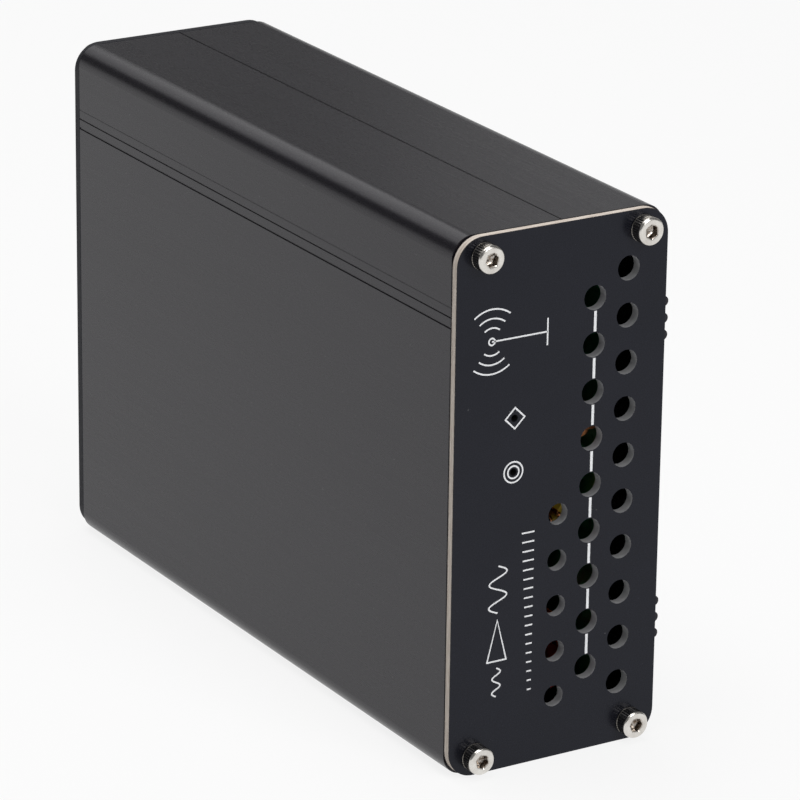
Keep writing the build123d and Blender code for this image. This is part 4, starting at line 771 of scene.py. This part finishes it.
def bladeShell(start):
    # u runs from root to tip and w round the section: the section is a thin oval bent by its camber,
    # its pitch falls from root to tip, and it is wrapped round the hub as it sweeps forward
    f = rotor
    u = np.linspace(0, 1, f["rows"])[:, None]
    w = ringAngles(f["columns"])[None, :]
    along = np.cos(w) * f["chord"] / 2 * (1 - f["chordTaper"] * u)
    lift = f["camber"] * np.sin(w) ** 2 + np.sin(w) * f["thickness"] / 2 * (1 - f["thicknessTaper"] * u)
    pitch = np.radians(f["rootPitch"] + (f["tipPitch"] - f["rootPitch"]) * u)
    around = along * np.cos(pitch) - lift * np.sin(pitch)
    deep = along * np.sin(pitch) + lift * np.cos(pitch)
    radius = f["rootRadius"] + (f["tipRadius"] - f["rootRadius"]) * u
    angle = start + math.radians(f["sweep"]) * u ** 2 + around / radius
    x, z = fanMiddle.x + radius * np.cos(angle), fanMiddle.z + radius * np.sin(angle)
    return np.stack([x, f["middleY"] + deep, z], axis=-1)


def fanRotor():
    # the hub's outline runs from the shaft's tip under the cap, out round the wall and back to the
    # middle of the shallow dish in its end
    f = rotor
    r, front, back = f["hubRadius"], f["hubFrontY"], f["hubBackY"]
    inner, cap, dish = r - f["hubWall"], back - f["hubCap"], back - f["dishDepth"]
    outline = [(f["pole"], f["shaftFrontY"]), (f["shaftRadius"], f["shaftFrontY"]), (f["shaftRadius"], cap),
               (inner, cap), (inner, front), (r - f["hubChamfer"], front), (r, front + f["hubChamfer"]),
               *roundedCorner(r, back, f["hubRound"], f["hubRoundPoints"]),
               (f["dishRadius"] + f["dishSlope"], back), (f["dishRadius"], dish), (f["pole"], dish)]
    shells = [(turnedOutline(outline, (fanMiddle.x, 0, fanMiddle.z), (0, 1, 0)), False, True, True)]
    shells += [(bladeShell(start), False, True, True) for start in ringAngles(f["blades"])]
    addPiece("fan_blades", shells, "black_plastic", body="fan_rotor", replaced=("fan_rotor",))


fanRotor()
print("fan rotor shaped:", rotor["blades"], "blades")

winding = dict(
    tailX=12.0 * mm, openAngle=60, ringWire=0.4 * mm, ringOuter=6.8 * mm, ringInner=3.4 * mm,
    ringHalf=2.865 * mm, ringBend=1.7 * mm, filterTurns=12, chokeTurns=9, step=0.3 * mm, sides=12,
    # a ring's middle, the way its gap faces, and its axis
    upperRing=((2.1 * mm, -52.5 * mm, 41 * mm), (1, 0, 0), (0, -1, 0)),
    lowerRing=((2.1 * mm, -52.5 * mm, 14 * mm), (1, 0, 0), (0, -1, 0)),
    choke=((6.035 * mm, 4 * mm, 74 * mm), (0, -1, 0), (-1, 0, 0)),
    output=dict(centre=(1.9 * mm, -8 * mm, 44 * mm), half=15.9 * mm, spread=7.4 * mm, turns=3,
                pitch=1.4 * mm, wire=0.6 * mm, bend=5.0 * mm),
    input=dict(centre=(5.65 * mm, 0.0, 21 * mm), half=8.775 * mm, spread=2.85 * mm, turns=3,
               pitch=0.8 * mm, wire=0.3 * mm, bend=1.8 * mm),
)


def wireShell(corners, radius, bend, away):
    # the route through the corners is sampled evenly and averaged twice over half the bend length,
    # which rounds its corners; a circle is carried along it, kept upright by the direction away
    # from the winding's middle
    spans = np.linalg.norm(np.diff(corners, axis=0), axis=1)
    reached = np.concatenate([[0.0], np.cumsum(spans)])
    at = np.linspace(0, reached[-1], int(reached[-1] / winding["step"]))
    route = np.stack([np.interp(at, reached, corners[:, k]) for k in range(3)], axis=1)
    half = max(int(bend / winding["step"] / 4), 1)
    kernel = np.convolve(np.ones(2 * half + 1), np.ones(2 * half + 1)) / (2 * half + 1) ** 2
    padded = np.pad(route, ((2 * half, 2 * half), (0, 0)), mode="reflect", reflect_type="odd")
    route = np.stack([np.convolve(padded[:, k], kernel, "valid") for k in range(3)], axis=1)
    ahead = np.gradient(route, axis=0)
    ahead /= np.linalg.norm(ahead, axis=1, keepdims=True)
    side = np.cross(ahead, away(route))
    side /= np.linalg.norm(side, axis=1, keepdims=True)
    up = np.cross(side, ahead)
    angle = ringAngles(winding["sides"])[None, :, None]
    grid = route[:, None, :] + radius * (np.cos(angle) * side[:, None, :] + np.sin(angle) * up[:, None, :])
    return grid, False, True, True


def withTails(points):
    # the first and last corners are led straight down through the board
    tails = points[[0, -1]].copy()
    tails[:, 0] = winding["tailX"]
    return np.concatenate([tails[:1], points, tails[1:]])


def ringWinding(name, replaced, place, turns):
    # four corners per turn, up outside the ring, over, down its bore and back under, each turn one
    # step further round
    w = winding
    origin, xDirection, zDirection = (np.array(v, float) for v in place)
    yDirection = np.cross(zDirection, xDirection)
    outer, inner, half = w["ringOuter"], w["ringInner"], w["ringHalf"]
    turn = np.append(np.repeat(np.arange(turns), 4), turns)
    angle = np.radians(w["openAngle"] / 2 + (360 - w["openAngle"]) / turns * turn)
    radius = np.append(np.tile([outer, outer, inner, inner], turns), outer)
    height = np.append(np.tile([-1, 1, 1, -1], turns), -1) * half
    points = origin + np.outer(radius * np.cos(angle), xDirection) + np.outer(height, zDirection)
    points += np.outer(radius * np.sin(angle), yDirection)

    def awayFromRing(route):
        local = route - origin
        flat = np.stack([local @ xDirection, local @ yDirection], axis=1)
        flat *= (outer + inner) / 2 / np.linalg.norm(flat, axis=1, keepdims=True)
        return local - np.outer(flat[:, 0], xDirection) - np.outer(flat[:, 1], yDirection)

    shell = wireShell(withTails(points), w["ringWire"], w["ringBend"], awayFromRing)
    addPiece(name, [shell], "enamelled_copper", replaced=(replaced,))


def boreWinding(name, replaced, shape, slotName):
    # out through one bore, across the end, back through the other, each turn beside the last
    centre = np.array(shape["centre"])
    turn = np.repeat(np.arange(shape["turns"]), 4) - (shape["turns"] - 1) / 2
    along = np.tile([1, -1, -1, 1], shape["turns"]) * -shape["half"]
    up = np.tile([-1, -1, 1, 1], shape["turns"]) * shape["spread"]
    points = centre + np.stack([turn * shape["pitch"], along, up], axis=1)
    shell = wireShell(withTails(points), shape["wire"], shape["bend"], lambda route: route - centre)
    addPiece(name, [shell], slotName, replaced=(replaced,))


ringWinding("upper_filter_coil", "upper_filter_winding", winding["upperRing"], winding["filterTurns"])
ringWinding("lower_filter_coil", "lower_filter_winding", winding["lowerRing"], winding["filterTurns"])
ringWinding("supply_choke_coil", "supply_choke_winding", winding["choke"], winding["chokeTurns"])
boreWinding("output_coil", "output_winding", winding["output"], "sleeved_wire")
boreWinding("input_coil", "input_winding", winding["input"], "enamelled_copper")
print("windings wound: 5")

joint = dict(
    # radius and height in mm of the collar's rows, on the board's back and on its parts side
    backRows=((1.15, 0.0), (1.12, 0.03), (0.8, 0.22), (0.55, 0.55), (0.46, 0.8)),
    topRows=((1.05, 0.0), (1.02, 0.03), (0.7, 0.1), (0.5, 0.22)),
    pole=0.3, columns=20, reach=0.85 * mm, endWithin=0.02 * mm,
    never=("main_board", "front_panel_screws", "rear_panel_screws", "left_shell", "right_shell"),
)


def leadCentres():
    # a lead ends in a flat disc at the windings' tail depth: every corner of that disc lies within
    # reach of the others, so its label is the first corner in reach, and its centre their mean
    found = []
    for name, node in frame["nodes"].items():
        if name in joint["never"]:
            continue
        points = np.empty(len(node.data.vertices) * 3, np.float32)
        node.data.vertices.foreach_get("co", points)
        points = points.reshape(-1, 3)
        ends = points[np.abs(points[:, 0] - winding["tailX"]) < joint["endWithin"]][:, 1:]
        if not len(ends):
            continue
        near = np.linalg.norm(ends[:, None, :] - ends[None, :, :], axis=2) < joint["reach"]
        labels = near.argmax(axis=1)
        found += [ends[labels == label].mean(axis=0) for label in np.unique(labels)]
    return found


def solderJoints():
    # a small collar round each lead on both faces of the board, widest where it wets the pad
    low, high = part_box("main_board")
    shells = []
    for y, z in leadCentres():
        for face, direction, rows in ((high.x, 1, joint["backRows"]), (low.x, -1, joint["topRows"])):
            outline = np.array([(joint["pole"], 0.0), *rows, (joint["pole"], rows[-1][1])]) * mm
            grid = turnedOutline(outline, (face, y, z), (direction, 0, 0), joint["columns"])
            shells.append((grid, False, True, True))
    print("leads soldered:", len(shells) // 2)
    addPiece("solder_joints", shells, "tinned_metal", "solder", sharpAngle=60)


solderJoints()

marks = dict(
    rise=0.02 * mm, lineWidth=0.26 * mm, mitreLimit=0.5,
    dashWidth=0.47 * mm, dashGap=0.15 * mm, dashShift=0.12 * mm, ventPitch=7.62 * mm, ventRadius=2.0 * mm,
    middleX=5.92 * mm, middleZ=44.56 * mm, middleVents=9,
    diamondAt=(-8.16 * mm, 57.97 * mm), diamondHalf=(1.74 * mm, 1.7 * mm),
    ringsAt=(-8.25 * mm, 49.2 * mm), ringRadii=(1.68 * mm, 1.0 * mm), ringPoints=72,
    mastX=(-12.6 * mm, -2.6 * mm), mastZ=71.0 * mm, mastFoot=2.2 * mm, mastTip=0.55 * mm, tipPoints=36,
    waveRadii=(2.2 * mm, 3.7 * mm, 5.2 * mm), waveSpan=38, wavePoints=24,
    # lowest point, highest point and half width
    smallSine=(12.4 * mm, 17.2 * mm, 0.75 * mm), largeSine=(26.4 * mm, 34.2 * mm, 1.6 * mm),
    triangle=(18.4 * mm, 25.2 * mm, 1.75 * mm), signalX=-10.6 * mm, sineTurns=2, sinePoints=60,
    scaleX=-5.3 * mm, scaleFrom=12.4 * mm, scaleStep=1.55 * mm, scaleCount=18,
    scaleHeights=(0.7 * mm, 2.3 * mm),
)


def ribbon(path, closed=False, width=marks["lineWidth"]):
    # a line of ink on the front face: each (x, z) point of the path moves half the width to either
    # side along the path's own normal, and the line's section is a low rectangle
    if closed:
        step = np.roll(path, -1, axis=0) - path
        before = np.roll(step, 1, axis=0)
    else:
        step = np.gradient(path, axis=0)
        before = step
    step = step / np.linalg.norm(step, axis=1, keepdims=True)
    before = before / np.linalg.norm(before, axis=1, keepdims=True)
    along = step + before
    along /= np.linalg.norm(along, axis=1, keepdims=True)
    mitre = 1 / np.maximum((along * step).sum(axis=1, keepdims=True), marks["mitreLimit"])
    side = np.stack([-along[:, 1], along[:, 0]], axis=1) * width / 2 * mitre
    rise = marks["rise"]
    corners = [(path + side, 0.0), (path - side, 0.0), (path - side, rise), (path + side, rise)]
    columns = [np.stack([p[:, 0], np.full(len(p), frontY - out), p[:, 1]], axis=1) for p, out in corners]
    return np.stack(columns, axis=1), closed, True, not closed


def arcPath(centre, radius, fromAngle, toAngle, count):
    turn = np.radians(np.linspace(fromAngle, toAngle, count))
    return np.stack([centre[0] + radius * np.cos(turn), centre[1] + radius * np.sin(turn)], axis=1)


def ringMark(centre, radius, count):
    # the last point of the closed line lies one step before the first
    return ribbon(arcPath(centre, radius, 0, 360 - 360 / count, count), True)


def sineMark(x, fromZ, toZ, height):
    # a sine wave that runs up the panel and swings to either side of x
    z = np.linspace(fromZ, toZ, marks["sinePoints"])
    phase = (z - fromZ) / (toZ - fromZ) * marks["sineTurns"] * 2 * np.pi
    return ribbon(np.stack([x - height * np.sin(phase), z], axis=1))


def straight(x0, z0, x1, z1):
    return np.array([(x0, z0), (x1, z1)])


def ventDashes():
    # a dash between each two neighbouring vents of the middle column
    m = marks
    pitch, count = m["ventPitch"], m["middleVents"] - 1
    reach = m["ventRadius"] + m["dashGap"]
    starts = m["middleZ"] - count / 2 * pitch + np.arange(count) * pitch
    x = m["middleX"] + m["dashShift"]
    return [ribbon(straight(x, z + reach, x, z + pitch - reach), width=m["dashWidth"]) for z in starts]


def lampMarks():
    # an outlined diamond and a double ring round the two light windows
    x, z = marks["diamondAt"]
    halfX, halfZ = marks["diamondHalf"]
    diamond = np.array([(x + halfX, z), (x, z + halfZ), (x - halfX, z), (x, z - halfZ)])
    rings = [ringMark(marks["ringsAt"], radius, marks["ringPoints"]) for radius in marks["ringRadii"]]
    return [ribbon(diamond, True), *rings]


def aerialMark():
    # a lying mast with a foot and a ball at its tip, and waves that spread to both sides of the tip
    m = marks
    tip, foot = m["mastX"]
    z = m["mastZ"]
    lines = [ribbon(straight(foot, z, tip, z)),
             ribbon(straight(foot, z - m["mastFoot"], foot, z + m["mastFoot"])),
             ringMark((tip, z), m["mastTip"], m["tipPoints"])]
    for radius in m["waveRadii"]:
        for side in (90, 270):
            wave = arcPath((tip, z), radius, side - m["waveSpan"], side + m["waveSpan"], m["wavePoints"])
            lines.append(ribbon(wave))
    return lines


def signalMarks():
    # a small wave, an outlined triangle and a large wave, and beside them a scale of growing bars
    m = marks
    x = m["signalX"]
    fromZ, toZ, half = m["triangle"]
    triangle = np.array([(x - half, fromZ), (x + half, fromZ), (x, toZ)])
    lines = [sineMark(x, *m["smallSine"]), sineMark(x, *m["largeSine"]), ribbon(triangle, True)]
    low, high = m["scaleHeights"]
    start = m["scaleX"] + high / 2
    for index in range(m["scaleCount"]):
        z = m["scaleFrom"] + index * m["scaleStep"]
        reach = low + (high - low) * index / (m["scaleCount"] - 1)
        lines.append(ribbon(straight(start, z, start - reach, z)))
    return lines


allMarks = ventDashes() + lampMarks() + aerialMark() + signalMarks()
addPiece("front_marks", allMarks, "legend_ink", sharpAngle=20)
print("front marks printed")

camera = dict(place=(-0.3816, -0.6386, 0.3083), turn=(70.179, -0.752, -31.231), lens=216.2,
              shift=(-0.00524, -0.00006), sensorWidth=36, clip=(0.01, 20))


def addCamera():
    data = bpy.data.cameras.new("camera")
    data.lens = camera["lens"]
    data.sensor_width = camera["sensorWidth"]
    data.shift_x, data.shift_y = camera["shift"]
    data.clip_start, data.clip_end = camera["clip"]
    made = bpy.data.objects.new("camera", data)
    made.location = camera["place"]
    made.rotation_euler = [math.radians(angle) for angle in camera["turn"]]
    bpy.context.scene.collection.objects.link(made)
    bpy.context.scene.camera = made


studio = dict(
    floorColour=(0.8, 0.8, 0.8), floorRoughness=0.9, floorGlow=0.85, roomLight=0.17,
    floorRadius=6.0, floorColumns=96, coveWidth=0.5, coveHeight=0.6, coveRows=13,
    lamps=[
        # name, place, aim, width and height, watts
        ("topLamp", (-0.1, 0.05, 1.0), (0.0, 0.0, 0.06), (0.6, 0.6), 6.0),
        ("backLamp", (0.0, 1.0, 0.97), (0.0, 0.0, 0.06), (1.1, 0.75), 3.4),
        ("rightLamp", (1.05, 0.95, 0.55), (0.0, 0.0, 0.06), (0.8, 0.6), 0.5),
        ("frontLamp", (0.15, -0.9, 0.6), (0.0, -0.06, 0.04), (0.45, 0.45), 4.6),
    ],
)
white = (1, 1, 1)


def addLamp(name, place, aim, size, watts):
    data = bpy.data.lights.new(name, "AREA")
    data.shape = "RECTANGLE"
    data.size, data.size_y = size
    data.energy = watts
    lamp = bpy.data.objects.new(name, data)
    lamp.location = place
    lamp.rotation_mode = "QUATERNION"
    lamp.rotation_quaternion = (Vector(aim) - Vector(place)).to_track_quat("-Z", "Y")
    lamp.visible_camera = False
    bpy.context.scene.collection.objects.link(lamp)


def whiteRays(tree):
    # 1 for camera, mirror and see-through rays, which show the white surroundings
    path = addNode(tree, "ShaderNodeLightPath").outputs
    direct = mathNode(tree, "MAXIMUM", path["Is Camera Ray"], path["Is Transmission Ray"])
    return mathNode(tree, "MAXIMUM", direct, path["Is Glossy Ray"])


def addWorld():
    # the room: one plain level of light from all round
    world = bpy.data.worlds.new("studio")
    bpy.context.scene.world = world
    world.use_nodes = True
    background = world.node_tree.nodes["Background"].inputs
    feed(world.node_tree, background["Color"], white)
    feed(world.node_tree, background["Strength"], studio["roomLight"])


def floorFinish():
    # white to the camera and to mirror and see-through rays, and pale and matt to the lamps
    material = bpy.data.materials.new("floor")
    material.use_nodes = True
    tree = material.node_tree
    shader = tree.nodes["Principled BSDF"]
    feed(tree, shader.inputs["Base Color"], studio["floorColour"])
    feed(tree, shader.inputs["Roughness"], studio["floorRoughness"])
    glow = addNode(tree, "ShaderNodeEmission", Strength=1.0, Color=white).outputs[0]
    share = mathNode(tree, "MULTIPLY", whiteRays(tree), studio["floorGlow"])
    mixed = addNode(tree, "ShaderNodeMixShader", in0=share, in1=shader.outputs[0], in2=glow).outputs[0]
    tree.links.new(mixed, tree.nodes["Material Output"].inputs["Surface"])
    return material


def addFloor():
    # a round floor whose rim sweeps up in a low cove: radius + width sin(a), height (1 - cos(a))
    s = studio
    rows, columns = s["coveRows"], s["floorColumns"]
    bend = np.radians(np.linspace(0, 90, rows))
    reach = s["floorRadius"] + s["coveWidth"] * np.sin(bend)
    outline = np.stack([reach, s["coveHeight"] * (1 - np.cos(bend))], axis=1)
    grid = turnedOutline(outline, (0, 0, 0), (0, 0, 1), columns)
    faces = [list(range(columns))] + gridFaces(rows, columns, False, True).tolist()
    mesh = bpy.data.meshes.new("floor")
    mesh.from_pydata(grid.reshape(-1, 3).tolist(), [], faces)
    mesh.materials.append(floorFinish())
    floor = bpy.data.objects.new("floor", mesh)
    bpy.context.scene.collection.objects.link(floor)


addCamera()
addWorld()
addFloor()
for lamp in studio["lamps"]:
    addLamp(*lamp)
bpy.context.scene.view_settings.view_transform = "Standard"
print("studio set")
